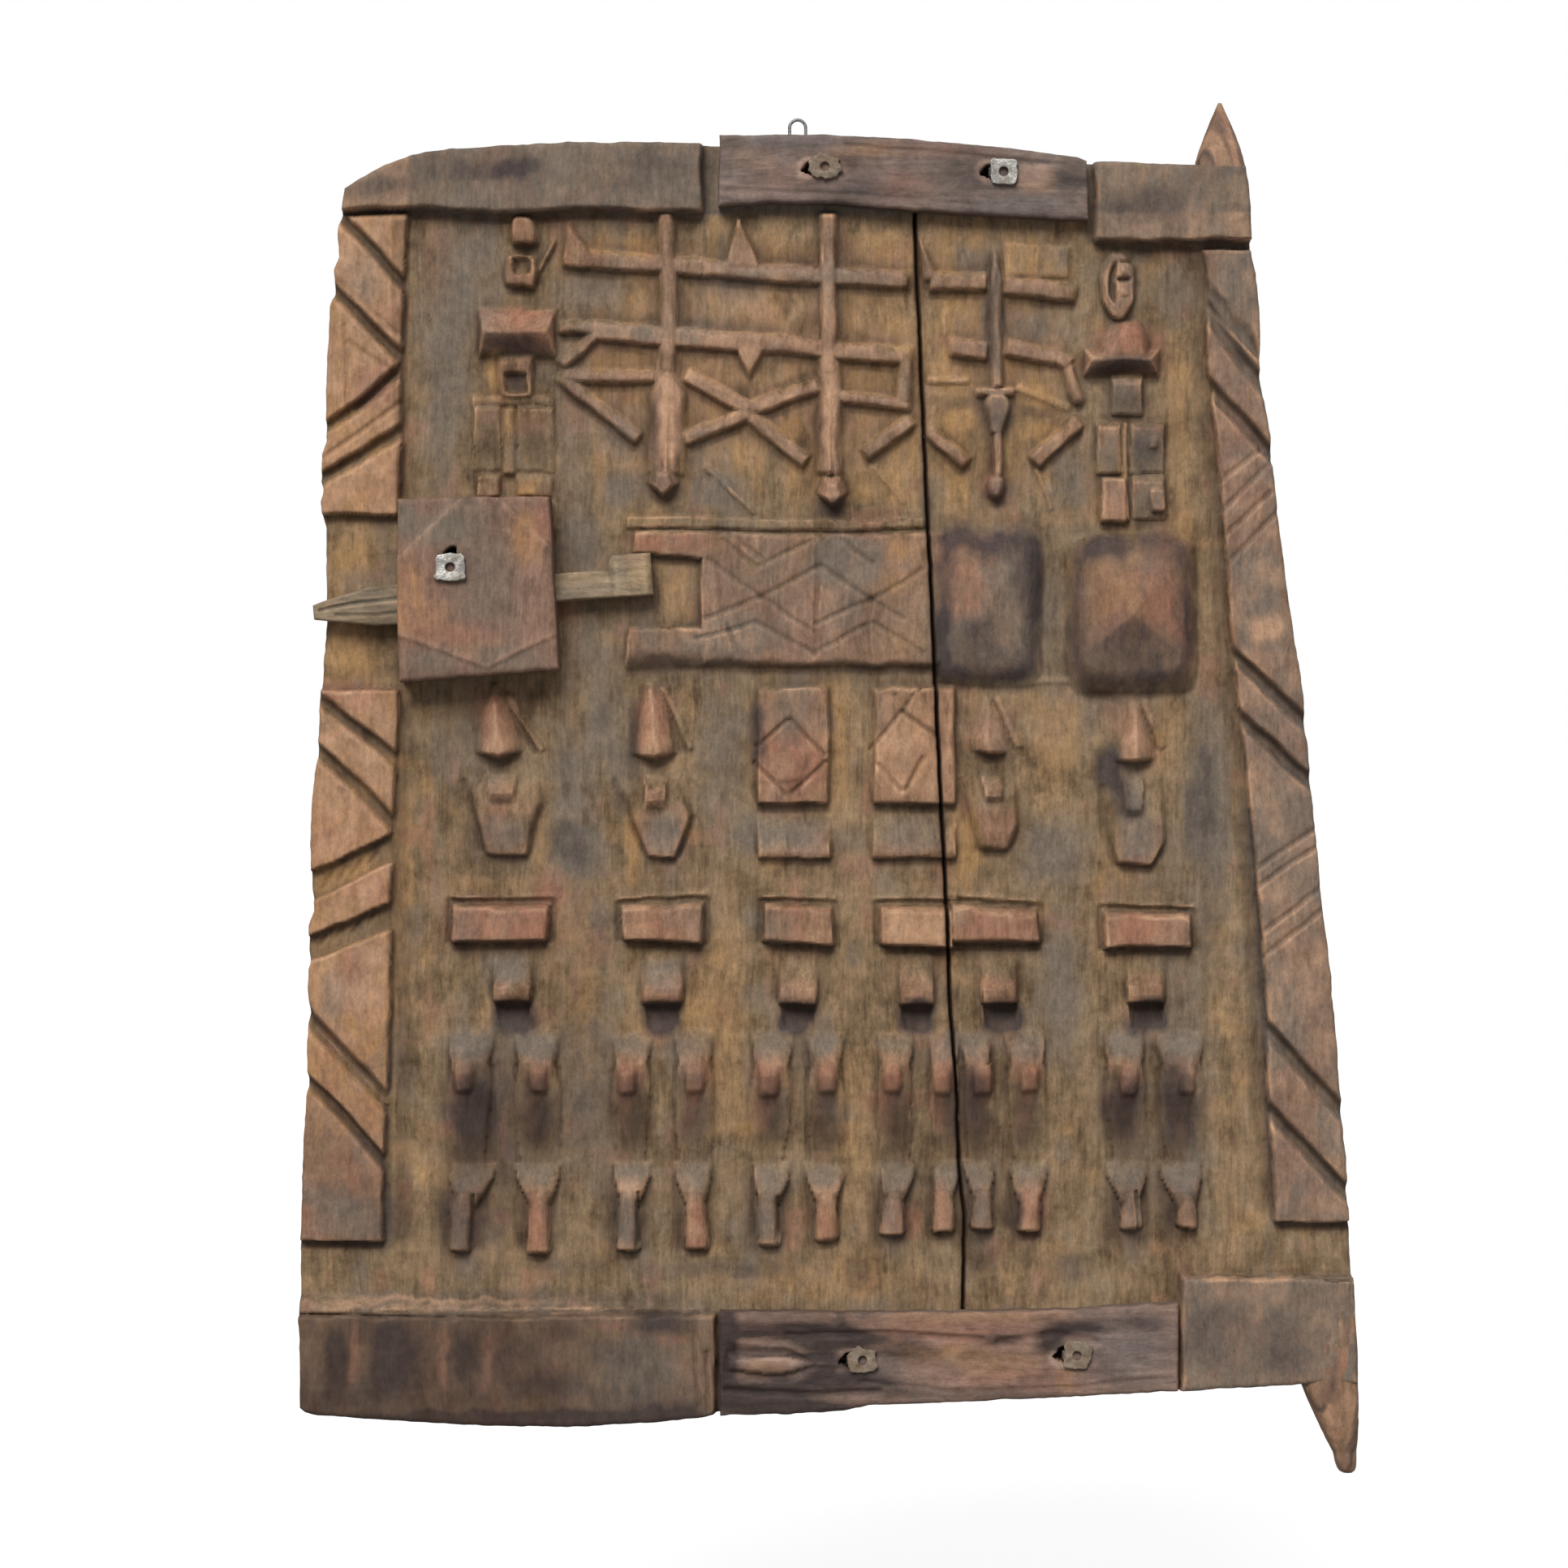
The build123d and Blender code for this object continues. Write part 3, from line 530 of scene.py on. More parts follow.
def old_wood(name, chart, along=(1.0, 1.0, 0.05)):
    """Dry weathered wood in the paints of a chart, its fibres drawn out where along is small.

    Marks on the mesh tell where it is golden, reddened, greyed or worn, where it is sooty and where it is
    grimy; the last two also carry painted shade."""
    material, shader, bare = start_material(name)
    paint = {part: srgb(*numbers) for part, numbers in chart.items()}
    here = bare.node("ShaderNodeTexCoord", output=3)
    mark = {
        key: bare.node("ShaderNodeAttribute", {"attribute_name": key}, output=2)
        for key in ("gold", "rose", "ash", "soot", "worn", "grime")
    }
    drift = here.cloud_vector(14.0).scaled((0.012, 0.012, 0.012))
    flow = here.plus(drift)
    fibre = flow.scaled(along).cloud(430.0, 5.0, 0.66)
    pore = flow.scaled(along).cloud(1150.0, 2.0, 0.5)
    blotch = here.cloud(46.0, 6.0, 0.68)
    smear = flow.scaled([0.35 + 0.65 * part for part in along]).cloud(120.0, 5.0, 0.66)
    speck = here.cloud(520.0, 3.0, 0.62)
    mottle = flow.scaled([0.5 + 0.5 * part for part in along]).cloud(200.0, 4.0, 0.72)
    cloudy = here.cloud(22.0, 4.0, 0.6)
    streaky = (fibre - 0.5) * 0.9 + (blotch - 0.5) * 1.5 + (smear - 0.5) * 0.9 + (cloudy - 0.5) * 1.3 + 0.42
    colour = streaky.held().mix(paint["dark"], paint["pale"])
    for key, bite in (("gold", 1.3), ("rose", 1.2), ("ash", 1.4)):
        amount = (mark[key] * 1.25 + (blotch - 0.5) * bite + (smear - 0.5) * 1.3 - 0.1).held()
        share = amount * (mark[key] * 4.0).held() * 0.9
        shade = tuple(0.62 * part for part in paint[key][:3]) + (1.0,)
        colour = share.mix(colour, (fibre * 1.3 - 0.1).held().mix(shade, paint[key]))
    colour = (mark["worn"] * 1.2 + (smear - 0.5) * 1.4 - 0.15).held().mix(colour, paint["worn"])
    # Soot and painted shade: towards the near-black paint.
    soot_and_shade_amount = mark["soot"] * 1.3 + (smear - 0.5) * 1.3 + (blotch - 0.5) * 0.8 + (fibre - 0.5) * 0.6 - 0.12
    colour = (soot_and_shade_amount.held() * (mark["soot"] * 3.0).held() * 0.85).mix(colour, paint["soot"])
    # Grime and painted shade: towards the dark brown paint.
    colour = (mark["grime"] * (0.6 + 0.7 * (speck - 0.3))).held().mix(colour, paint["shade_and_grime_colour"])
    pores = ((pore - 0.6) * 4.0).held() * (0.4 - 0.25 * mark["worn"])
    plug(shader, "Base Color", colour.lit((0.02 + 0.16 * fibre + 0.5 * speck + 1.3 * mottle) * (1.0 - pores)))
    plug(shader, "Roughness", 0.78 + 0.16 * (fibre - 0.5) - 0.14 * mark["worn"])
    shader.inputs["Specular IOR Level"].default_value = 0.3
    height = fibre + speck * 0.3 - pores * 0.9
    bump = bare.node("ShaderNodeBump", None, {"Strength": 0.4, "Distance": 0.001, "Height": height})
    plug(shader, "Normal", bump)
    return material


carved_wood = old_wood(
    "carved_wood", {
        "pale": (164, 138, 105), "dark": (92, 72, 50), "gold": (186, 145, 96), "rose": (168, 118, 94),
        "ash": (126, 114, 101), "soot": (56, 49, 51), "worn": (188, 149, 118), "shade_and_grime_colour": (54, 37, 27),
    },
)

# How the panel's figures stand above the ground, from the long faces down to the feet.
border_proud = 8.5
band_proud = 12.5
mask_proud = 6.5
long_faces = (
    (((107, 406), (123, 400), (139, 407), (124, 450), (115, 450)), 14.0),
    (((203, 405), (218, 400), (233, 406), (220, 451), (212, 451)), 14.0),
    (((412, 407), (425, 403), (438, 407), (437, 415), (427, 441), (423, 441), (411, 415)), 11.0),
    (((500, 401), (513, 398), (527, 402), (516, 438), (511, 438)), 12.5),
)
mouths = (
    (116, 134, 370, 380, 394), (211, 226, 367, 378, 393), (420, 432, 374, 380, 393),
    (507, 520, 365, 373, 392),
)
chins = (
    ((114, 343), (141, 343), (151, 376), (146, 392), (102, 392)),
    ((212, 342), (232, 340), (241, 366), (236, 392), (192, 390)),
    ((417, 346), (436, 346), (443, 360), (441, 390), (407, 390)),
    ((503, 338), (525, 337), (534, 352), (532, 385), (493, 385)),
)
jaw_lines = (
    ((102, 388), (112, 347)), ((149, 372), (141, 346)), ((193, 389), (212, 345)), ((241, 366), (232, 343)),
    ((407, 388), (410, 366), (416, 346)), ((495, 385), (495, 360), (503, 338)),
)
cheek_lines = (
    ((127, 443), (151, 407)), ((223, 447), (241, 407)), ((430, 442), (444, 410)), ((518, 440), (531, 408)),
)
shoulders = (
    ((93, 289), (152, 289), (153, 315), (93, 314)), ((198, 290), (248, 288), (248, 314), (197, 313)),
    ((284, 290), (328, 287), (328, 312), (285, 313)), ((357, 288), (402, 286), (402, 312), (358, 312)),
    ((400, 290), (457, 290), (454, 311), (399, 314)), ((495, 285), (549, 286), (548, 308), (494, 310)),
)
# The middle of each belly and its half width; of each leg its middle, its knee, its half width and its foot.
bellies = ((130.5, 11.5), (222, 12), (305, 11.5), (379, 10.5), (432, 11.5), (521, 11.5))
legs = (
    (106, 100, 14, 99), (146, 147, 14, 98), (205, 202, 12, 100), (243, 244, 12, 101), (291, 288, 11.5, 104),
    (322, 324, 11.5, 106), (367, 365, 11, 108), (398, 396, 9, 110), (417, 420, 9, 112), (447, 449, 12, 112),
    (508, 511, 12.5, 112), (542, 546, 14, 114),
)
thighs, knees, leg_halves = np.array(legs).T[:3]
waists, waist_halves = np.array(bellies).T
# Each dome by its middle, its sides and how proud it stands.
domes = ((424, 497, 68, 101, 15), (512, 493, 80, 101, 21))
# Soft patches of each mark, by their middle, their half sizes and their strength. on_each makes one
# for every leg or belly that it is given. Some are painted shade: the dark patches down the legs and
# beside the shins, and the near-black ones below the bellies' ledges, under both hat brims and in the
# legs' hollows.
on_each = np.broadcast
noses = [((corners[0][0] + corners[2][0]) / 2, 422, 12, 19, 0.35) for corners, proud in long_faces]
shade_beside_shins = (
    *on_each(knees[::2] - 3, 120, leg_halves[::2] * 1.15, 22, 1.1),
    *on_each(knees[1::2] - 6, 120, leg_halves[1::2] * 0.8, 22, 0.6),
)
stains = {
    "grime": (
        *on_each(thighs - 1, 182, leg_halves * 1.05, 24, 1.0),
        (243, 182, 12, 22, -0.4), (289, 182, 12, 22, -0.35), (526, 185, 32, 22, -0.2),
    ),
    "worn": (
        *on_each(knees[1::2], 112, 6, 10, 0.12), (378, 410, 26, 36, 0.38), (122, 424, 12, 20, 0.14),
        (45, 690, 30, 40, 0.08), (380, 300, 22, 12, 0.5), (205, 140, 60, 8, 0.2), (270, 650, 100, 80, 0.3),
        (430, 650, 50, 80, 0.2), (226, 604, 3.4, 26, 0.9), (326, 604, 3.4, 26, 0.9), (226, 566, 6, 5, 0.4),
        (327, 562, 6, 5, 0.4), (595, 482, 10, 8, 0.9), (503, 704, 5, 6, 0.5), (505, 691, 4, 5, 0.4),
        (88, 69, 60, 1.6, 0.4), (120, 68, 130, 3.5, 0.25),
    ),
    "gold": (
        (500, 500, 14, 18, 0.5), (522, 503, 12, 14, 0.4), (240, 752, 7, 12, 0.6), (34, 38, 2, 18, 0.4),
        (116, 34, 3, 14, 0.4), (120, 638, 4, 12, 0.8), (507.5, 580, 3, 30, 0.6), (225, 608, 4, 22, 0.5),
        (128, 598, 5, 18, 0.4), (370, 520, 11, 16, 0.7), (25, 640, 10, 40, 0.8), (28, 325, 24, 14, 1.1),
        (22, 308, 14, 10, 0.8), (32, 262, 24, 34, 0.6), (30, 200, 26, 24, 0.4), (25, 372, 18, 22, 0.5),
        (48, 395, 12, 18, 0.4), (28, 560, 16, 10, 0.6), (42, 600, 16, 20, 0.5), (200, 716, 16, 8, 0.8),
        (360, 715, 14, 10, 0.9), (252, 641, 12, 7, 0.9), (300, 642, 14, 6, 0.6), (348, 638, 16, 7, 0.9),
        (374, 636, 7, 22, 1.1), (372, 585, 8, 26, 0.9), (400, 640, 12, 10, 1.1), (268, 592, 14, 8, 0.6),
        (192, 650, 18, 5, 0.6), (205, 618, 10, 6, 0.6), (252, 618, 14, 5, 0.8), (300, 606, 10, 6, 0.7),
        (440, 640, 18, 8, 0.8), (450, 626, 14, 6, 0.7), (405, 610, 12, 6, 0.8), (455, 604, 12, 5, 0.8),
        (415, 684, 8, 8, 0.9), (235, 505, 12, 18, 0.8), (400, 700, 8, 20, 0.3), (330, 420, 8, 60, 0.5),
        (462, 420, 12, 40, 0.5), (445, 436, 12, 8, 0.6), (262, 220, 16, 70, 0.45), (340, 180, 10, 50, 0.4),
        (150, 350, 8, 20, 0.6), (175, 260, 10, 60, 0.5), (244, 250, 8, 30, 0.4), (535, 420, 12, 30, 0.5),
        (540, 600, 8, 70, 0.5), (520, 705, 14, 10, 0.5), (400, 290, 5, 20, 0.9), (380, 300, 20, 12, 0.9),
        (372, 405, 16, 18, 0.9), (590, 480, 16, 8, 0.8), (365, 525, 10, 10, 0.9), (368, 478, 14, 14, 0.8),
        (210, 28, 34, 22, 0.5), (565, 745, 10, 20, 0.8), (410, 350, 8, 30, 0.7), (205, 350, 5, 22, 0.7),
        (65, 320, 6, 60, 0.4), (320, 85, 60, 14, 0.4), (140, 566, 8, 8, 1.0), (30, 520, 14, 20, 0.5),
        (30, 465, 16, 16, 0.5), (500, 340, 10, 20, 0.5),
    ),
    "rose": (
        *on_each(knees, 205, 6.5, 8, 0.7), *on_each(knees - 4, 186, 5, 14, 0.5),
        *on_each(knees, 115, 6, 14, 0.25), (125, 760, 45, 14, 0.35), (535, 745, 40, 18, 0.2),
        (300, 703, 80, 8, 0.35), (270, 660, 110, 8, 0.3), (270, 620, 110, 20, 0.2), (440, 655, 40, 8, 0.3),
        (34, 38, 2.4, 18, 1.6), (88.5, 36, 2.6, 16, 1.5), (116, 32, 4, 16, 1.2), (502, 500, 13, 18, 0.2),
        (530, 498, 10, 20, 0.6), (408, 504, 11, 16, 1.0), (225, 608, 4, 22, 1.0), (429, 591, 4, 12, 0.8),
        (428, 570, 7, 7, 0.8), (500, 561, 8, 12, 0.6), (227, 45, 12, 3, 1.0), (192, 55, 8, 3.5, 0.8),
        (507, 692, 8, 10, 0.4), (122, 425, 12, 18, 0.6), (217, 425, 12, 18, 0.9), (514, 418, 10, 16, 0.6),
        (426, 420, 12, 14, 0.5), (303, 402, 16, 18, 0.8), (135, 674, 22, 5, 0.9), (507, 662, 19, 9, 0.9),
        (45, 630, 12, 10, 0.7), (32, 262, 12, 16, 0.5), (230, 536, 26, 6, 0.7), (580, 585, 14, 22, 0.6),
        (300, 485, 50, 26, 0.3), (324, 690, 5, 22, 0.8), (328, 566, 8, 8, 0.9), (226, 600, 4, 20, 0.8),
        (520, 297, 26, 10, 0.6), (122, 302, 28, 12, 0.5), (428, 300, 26, 10, 0.4), (228, 300, 24, 10, 0.3),
        (145, 115, 6, 14, 0.8), (245, 115, 6, 12, 0.8), (372, 118, 12, 12, 0.8), (200, 744, 40, 8, 0.6),
        (155, 325, 12, 10, 0.7), (452, 125, 8, 14, 0.7), (85, 710, 12, 30, 0.4), (135, 300, 60, 20, 0.2),
        (35, 440, 10, 8, 0.8), (560, 40, 20, 20, 0.3),
    ),
    "ash": (
        *on_each(thighs, 226, 14, 8, 0.55), *on_each(thighs, 145, 13, 8, 0.55),
        *on_each(knees[::2], 118, 8, 20, 0.55), (226, 758, 22, 12, 0.7), (300, 700, 60, 8, 0.4),
        (220, 666, 60, 7, 0.4), (428, 615, 9, 12, 0.8), (339, 527, 17, 9, 0.8), (593, 499, 6, 8, 0.8),
        (205, 26, 26, 22, 0.5), (497, 592, 8, 16, 0.5), (90, 640, 16, 80, 0.7), (112, 700, 18, 40, 0.6),
        (165, 600, 12, 70, 0.4), (180, 690, 22, 12, 0.6), (196, 570, 18, 12, 0.7), (254, 568, 14, 10, 0.8),
        (270, 690, 18, 12, 0.4), (168, 380, 14, 50, 0.5), (188, 425, 10, 26, 0.5), (176, 345, 18, 16, 0.6),
        (262, 400, 14, 50, 0.5), (300, 355, 26, 12, 0.8), (375, 356, 20, 10, 0.5), (126, 356, 16, 12, 0.6),
        (224, 356, 12, 14, 0.7), (126, 272, 14, 10, 0.7), (222, 270, 12, 10, 0.6), (305, 430, 14, 16, 0.5),
        (104, 226, 16, 7, 0.3), (148, 226, 16, 7, 0.3), (180, 190, 14, 50, 0.3), (470, 260, 12, 40, 0.7),
        (460, 345, 20, 20, 0.7), (560, 380, 14, 60, 0.6), (455, 470, 20, 50, 0.4), (20, 256, 8, 16, 0.8),
        (25, 122, 26, 16, 0.7), (40, 505, 16, 12, 0.6), (332, 525, 16, 12, 0.7), (262, 478, 26, 12, 0.5),
        (576, 690, 10, 18, 0.7), (600, 350, 16, 30, 0.6), (600, 250, 12, 30, 0.5), (470, 575, 14, 20, 0.6),
        (410, 710, 12, 10, 0.7), (450, 670, 24, 10, 0.5), (428, 680, 6, 40, 0.9), (505, 695, 12, 20, 0.5),
        (540, 690, 14, 20, 0.5), (512, 376, 8, 14, 0.8), (509, 624, 11, 11, 0.8), (521, 592, 10, 15, 0.6),
        (521, 562, 10, 12, 0.5), (514, 352, 14, 12, 0.7), (426, 415, 10, 12, 0.5), (290, 300, 14, 10, 0.5),
        (345, 520, 12, 10, 0.3), (195, 600, 16, 14, 0.5), (215, 28, 16, 10, 0.4), (585, 520, 14, 10, 0.6),
        (545, 250, 14, 60, 0.4), (170, 530, 14, 20, 0.4), (175, 470, 14, 20, 0.5), (320, 500, 80, 40, 0.4),
        (438, 497, 22, 58, 0.5), (408, 470, 22, 22, 0.5), (512, 455, 40, 26, 0.5), (540, 140, 18, 30, 0.3),
        (40, 700, 12, 20, 0.3),
    ),
    "soot": (
        *on_each(waists + 1, 243.5, waist_halves, 10, 1.5),
        *on_each(thighs + 2, 182, leg_halves * 0.8, 18, 0.42), *on_each(knees - 9, 120, 3, 16, 0.35),
        *on_each(knees[::2], 203, 8, 9, 0.22), (124, 165, 34, 66, 0.22), (524, 168, 34, 60, 0.18),
        (430, 175, 24, 50, 0.12), (428, 676, 5, 40, 0.45), (428, 615, 8, 11, 0.35), (404, 622, 12, 5, 0.5),
        (453, 617, 12, 5, 0.5), (429, 591, 4, 12, 0.3), (514, 132, 9, 12, 0.3), (545, 130, 9, 14, 0.3),
        (438, 124, 8, 14, 0.4), (502, 188, 11, 24, 0.4), (538, 200, 11, 22, 0.5), (412, 200, 6, 30, 0.3),
        (134, 658, 20, 7, 0.8), (508, 644, 19, 6, 0.9), (133, 633, 7, 5, 0.6), (509, 622, 10, 9, 0.25),
        (116, 598, 9, 18, 0.25), (146, 598, 10, 18, 0.35), (497, 590, 7, 12, 0.2), (521, 592, 9, 14, 0.4),
        (217, 606, 4, 24, 0.5), (319, 606, 3.5, 22, 0.4), (225, 567, 12, 7, 0.6), (326, 556, 12, 7, 0.8),
        (428, 566, 10, 7, 0.25), (220, 463, 22, 7, 0.5), (262, 464, 18, 6, 0.35), (330, 456, 30, 7, 0.35),
        (332, 525, 14, 10, 0.2), (166, 352, 14, 14, 0.4), (23, 36, 7, 18, 0.75), (55, 36, 10, 18, 0.8),
        (101, 34, 9, 16, 0.6), (124, 34, 10, 16, 0.3), (222, 56, 17, 6, 0.7), (495, 532, 14, 8, 0.35),
        (404, 541, 14, 8, 0.3), (424, 530, 12, 8, 0.3), (420, 479, 12, 10, 0.4), (444, 512, 6, 14, 0.25),
        (396, 466, 5, 30, 0.3), (430, 452, 16, 5, 0.3), (130, -3, 110, 5, 0.8), (45, 12, 30, 10, 0.35),
        (195, -2, 40, 7, 0.4), (34, 38, 2.4, 18, -0.5), (88.5, 36, 2.6, 16, -0.5), (116, 32, 4, 16, -0.4),
        (70, 38, 6, 16, 0.3), (230, 3, 20, 6, 0.4), (150, 18, 20, 8, 0.5), (345, 86, 8, 12, 0.4),
        (420, 92, 10, 12, 0.4), (475, 90, 16, 12, 0.4), (560, 50, 22, 20, 0.25), (605, 40, 16, 20, 0.3),
        (120, 764, 30, 6, 0.6), (60, 752, 16, 6, 0.4), (212, 762, 24, 10, 0.2), (520, 742, 26, 12, 0.4),
        (555, 380, 10, 40, 0.5), (205, 415, 5, 30, 0.6), (498, 398, 8, 12, 0.9), (506, 380, 8, 16, 0.6),
        (283, 420, 4, 20, 0.7), (188, 430, 5, 20, 0.3), (420, 430, 8, 10, 0.3), (262, 90, 30, 8, 0.25),
        (60, 120, 10, 16, 0.3), (386, 560, 4, 20, 0.4), (28, 140, 30, 44, 0.3), (595, 50, 56, 40, 0.14),
        (178, 250, 18, 90, 0.22), (106, 180, 16, 50, 0.3), (606, 360, 20, 44, 0.18), (560, 300, 10, 40, 0.3),
        (120, 350, 24, 16, 0.3), (125, 150, 6, 60, 0.3), (176, 150, 14, 60, 0.14), (220, 88, 150, 7, 0.22),
        (104, 118, 14, 20, 0.2), (303, 410, 24, 34, 0.26), (218, 424, 12, 20, 0.14),
    ),
}
pivot_border_edge = curve(((118, 598), (290, 590), (400, 581), (480, 571), (560, 565), (716, 554)), 0.5, 79)


def panel_relief(u, v):
    """The depth of the carved face and the marks on it."""
    height = 0.5 - 1.0 * np.abs(noise(u, v, 14, 24, 11)) - 0.5 * np.abs(noise(u, v, 6, 12, 12))
    cut = Relief(u, v, np.zeros_like(u), 21, 1.35)
    # The zigzag borders: ribbed strips with deep grooves across them.
    cut.slab(((-30, 551), (61, 551), (68, 738), (-30, 738)), border_proud, side=2.2, down=2.0)
    cut.slab(((-30, 105), (51, 105), (57, 290), (61, 447), (-30, 447)), border_proud, side=2.2)
    beyond = np.minimum((cut.u - pivot_border_edge(cut.v)) / 2.6, (716 - cut.v) / 3)
    beyond = np.minimum(beyond, (cut.v - 118) / 1.5)
    cut.height = np.maximum(cut.height, border_proud * np.sin(pi / 2 * held(beyond)))
    for path, wide, lean in (
        (((24, 738), (44, 718), (70, 690)), 9, 0.2), (((18, 694), (44, 668), (70, 642)), 10, 0.2),
        (((12, 602), (40, 622), (66, 643)), 10, 0.3), (((8, 568), (36, 586), (70, 610)), 11, 0.3),
        (((6, 444), (34, 422), (64, 397)), 10, 0.2), (((6, 412), (34, 388), (64, 356)), 10, 0.2),
        (((-2, 252), (26, 222), (58, 186)), 12, 0.1), (((-2, 212), (28, 182), (56, 150)), 9, 0.3),
        (((550, 688), (572, 658), (594, 627)), 11, 0.2), (((554, 637), (575, 613), (598, 587)), 11, 0.2),
        (((566, 473), (592, 449), (622, 420)), 11, 0.2), (((570, 434), (596, 411), (628, 381)), 11, 0.2),
        (((588, 242), (614, 215), (648, 178)), 11, 0.2), (((592, 190), (620, 161), (652, 128)), 11, 0.2),
    ):
        cut.gouge(path, wide, 7.0, lean)
    cut.bar((4, 246), (54, 190), 2.8, 5.0)
    for corners in (
        ((-4, 307), (64, 340), (64, 359), (-4, 328)), ((-4, 272), (64, 299), (64, 317), (-4, 290)),
    ):
        cut.sink(corners, 7.0, side=1, up=1.4, down=3.5)
    cut.sink(((553, 702), (560, 697), (588, 668), (593, 642), (552, 686)), 4.5, side=4, up=10, down=2)
    for path in (
        ((562, 552), (599, 586)), ((564, 518), (603, 557)), ((584, 333), (624, 361)),
        ((584, 322), (628, 352)), ((564, 572), (590, 592)), ((588, 294), (629, 325)),
        ((591, 281), (632, 313)), ((562, 536), (596, 566)),
    ):
        cut.gouge(path, 4.5, 1.8, -0.3)
    for path in (
        ((30, 658), (60, 640), (34, 618)), ((28, 668), (30, 612)), ((20, 700), (66, 660)),
        ((16, 586), (64, 624)), ((14, 322), (18, 330)), ((24, 327), (28, 335)), ((34, 332), (38, 339)),
        ((44, 337), (48, 344)), ((12, 288), (15, 293)), ((22, 292), (25, 297)), ((32, 296), (35, 301)),
        ((42, 300), (45, 306)),
    ):
        cut.gouge(path, 4.0, 1.6)
    cut.gouge(((26, 735), (66, 735)), 3.0, 1.2)
    cut.gouge(((4, 104.5), (54, 103.0)), 4.0, 3.0)
    # The figure in the upper corner by the latch, under its broad hat.
    cut.sink(((112, 684), (150, 684), (150, 735), (120, 735)), 1.2, side=6, up=6, down=6)
    cut.slab(
        ((129, 719), (147, 719), (148, 730), (143, 739), (131, 739), (128, 730)), 9, side=5, up=6, down=3,
    )
    cut.slab(
        ((125, 694), (144, 692), (148, 702), (146, 713), (126, 714), (123, 703)), 8, side=3, up=3, down=2.5,
    )
    cut.sink(box(129, 142, 700, 712), 7, side=2.6, up=2.6, down=3.5)
    cut.bar((146, 703), (157, 724), 4, 4)
    cut.jut(109, 158, 649, 665, 682, 14, 0.0, side=6)
    cut.block(114, 154, 656, 679, 11, up=8, down=8, side=5)
    cut.block(122, 146, 623, 654, 6, up=8, down=3, side=3.5)
    cut.sink(box(126, 142, 626, 641), 5.5, side=3, up=2, down=4)
    cut.block(105, 158, 619, 627, 3.5, up=3, down=2)
    cut.jut(106, 124, 579, 617, 621, 5, 0.2)
    cut.jut(134, 157, 579, 617, 621, 5, 0.2)
    cut.bar((129, 576), (129, 620), 10, 4.5, side=4)
    cut.block(109, 124, 562, 577, 5, up=4, down=1.5)
    cut.block(133, 156, 562, 577, 4.5, up=4, down=1.5)
    # The figure in the upper corner by the pivot, with a curled head.
    cut.slab(
        ((492, 686), (499, 674), (507, 673), (513, 684), (513, 706), (507, 716), (497, 716), (491, 705)), 7.5,
        side=3.4, up=3.4,
    )
    cut.sink(((496, 688), (501, 681), (502.4, 681), (502.4, 711), (500, 711), (496, 704)), 6, side=2.8, up=3)
    cut.sink(box(501, 510, 695.5, 700), 4.5, side=1.6, up=1.8, down=1.8)
    cut.sink(box(503, 513, 707.5, 711), 4.0, side=1.4, up=1.6, down=1.6)
    cut.block(502, 508.5, 699, 709, 9, side=2.6, up=2.6, down=2.6)
    cut.block(502, 509.5, 686, 697, 9.5, side=2.6, up=2.6, down=2.6)
    cut.slab(
        ((488, 644), (526, 644), (525, 660), (517, 674), (498, 674), (489, 660)), 13, up=11, down=5, side=6,
    )
    cut.jut(483, 530, 638, 648, 656, 15, 0.0, side=6)
    cut.jut(499, 519, 615, 633, 640, 8, 0.4, side=2.4)
    cut.jut(489, 505, 577, 606, 611, 7, 0.4)
    cut.jut(510.5, 532, 577, 606, 611, 7, 0.3)
    cut.slab(((520, 592), (529, 592), (530, 602), (521, 602)), 8.5, side=3)
    cut.bar((507.5, 549), (507.5, 611), 4, 5, side=1.6)
    cut.block(492, 508, 548, 575, 7.5, up=3)
    cut.jut(511, 532, 550, 571, 577, 6, 0.3)
    cut.block(522, 532, 554, 569, 8)
    # The two horned masks between them, in flat bars.
    for start, end, wide in (
        ((161, 713), (250, 706), 14), ((246, 706), (318, 701), 14), ((314, 701), (376, 698), 13),
        ((158, 670), (182, 669), 11), ((178, 668), (252, 661), 15), ((248, 661), (377, 652), 14),
        ((372, 660), (371, 621), 10), ((184, 667), (159, 645), 10), ((159, 640), (220, 639), 11),
        ((236, 641), (279, 617), 12), ((275, 617), (320, 633), 12), ((236, 600), (279, 616), 11),
        ((275, 616), (313, 586), 12), ((158, 641), (210, 600), 11), ((330, 627), (376, 621), 10),
        ((377, 613), (346, 590), 11), ((385, 698), (424, 697), 14), ((433, 695), (479, 690), 14),
        ((397, 658), (424, 655), 14), ((433, 657), (469, 650), 13), ((463, 653), (476, 645), 12),
        ((472, 648), (480, 621), 10), ((385, 608), (411, 584), 11), ((480, 613), (450, 585), 12),
    ):
        cut.bar(start, end, wide, mask_proud, up=6, side=3.2, down=2.6)
    for corners in (
        ((160, 708), (184, 712), (176, 722), (165, 737)), ((260, 704), (285, 704), (278, 722), (271, 738)),
        ((267, 658), (288, 657), (277, 635)), ((382, 697), (392, 697), (381, 727)),
    ):
        cut.slab(corners, mask_proud, side=2.4, down=2.4)
    for start, end, wide, proud in (
        ((248, 584), (281, 554), 4, 2.5), ((452, 582), (463, 556), 3.5, 2.0),
        ((396, 680), (396, 664), 3, 1.6), ((384, 637), (412, 636), 5, 2.6), ((440, 632), (474, 618), 6, 2.2),
        ((350, 585), (373, 560), 3.5, 1.6),
    ):
        cut.bar(start, end, wide, proud, up=2.4)
    cut.slab(((433, 700), (474, 698), (474, 719), (434, 721)), 3.0, side=2.5, up=2.5)
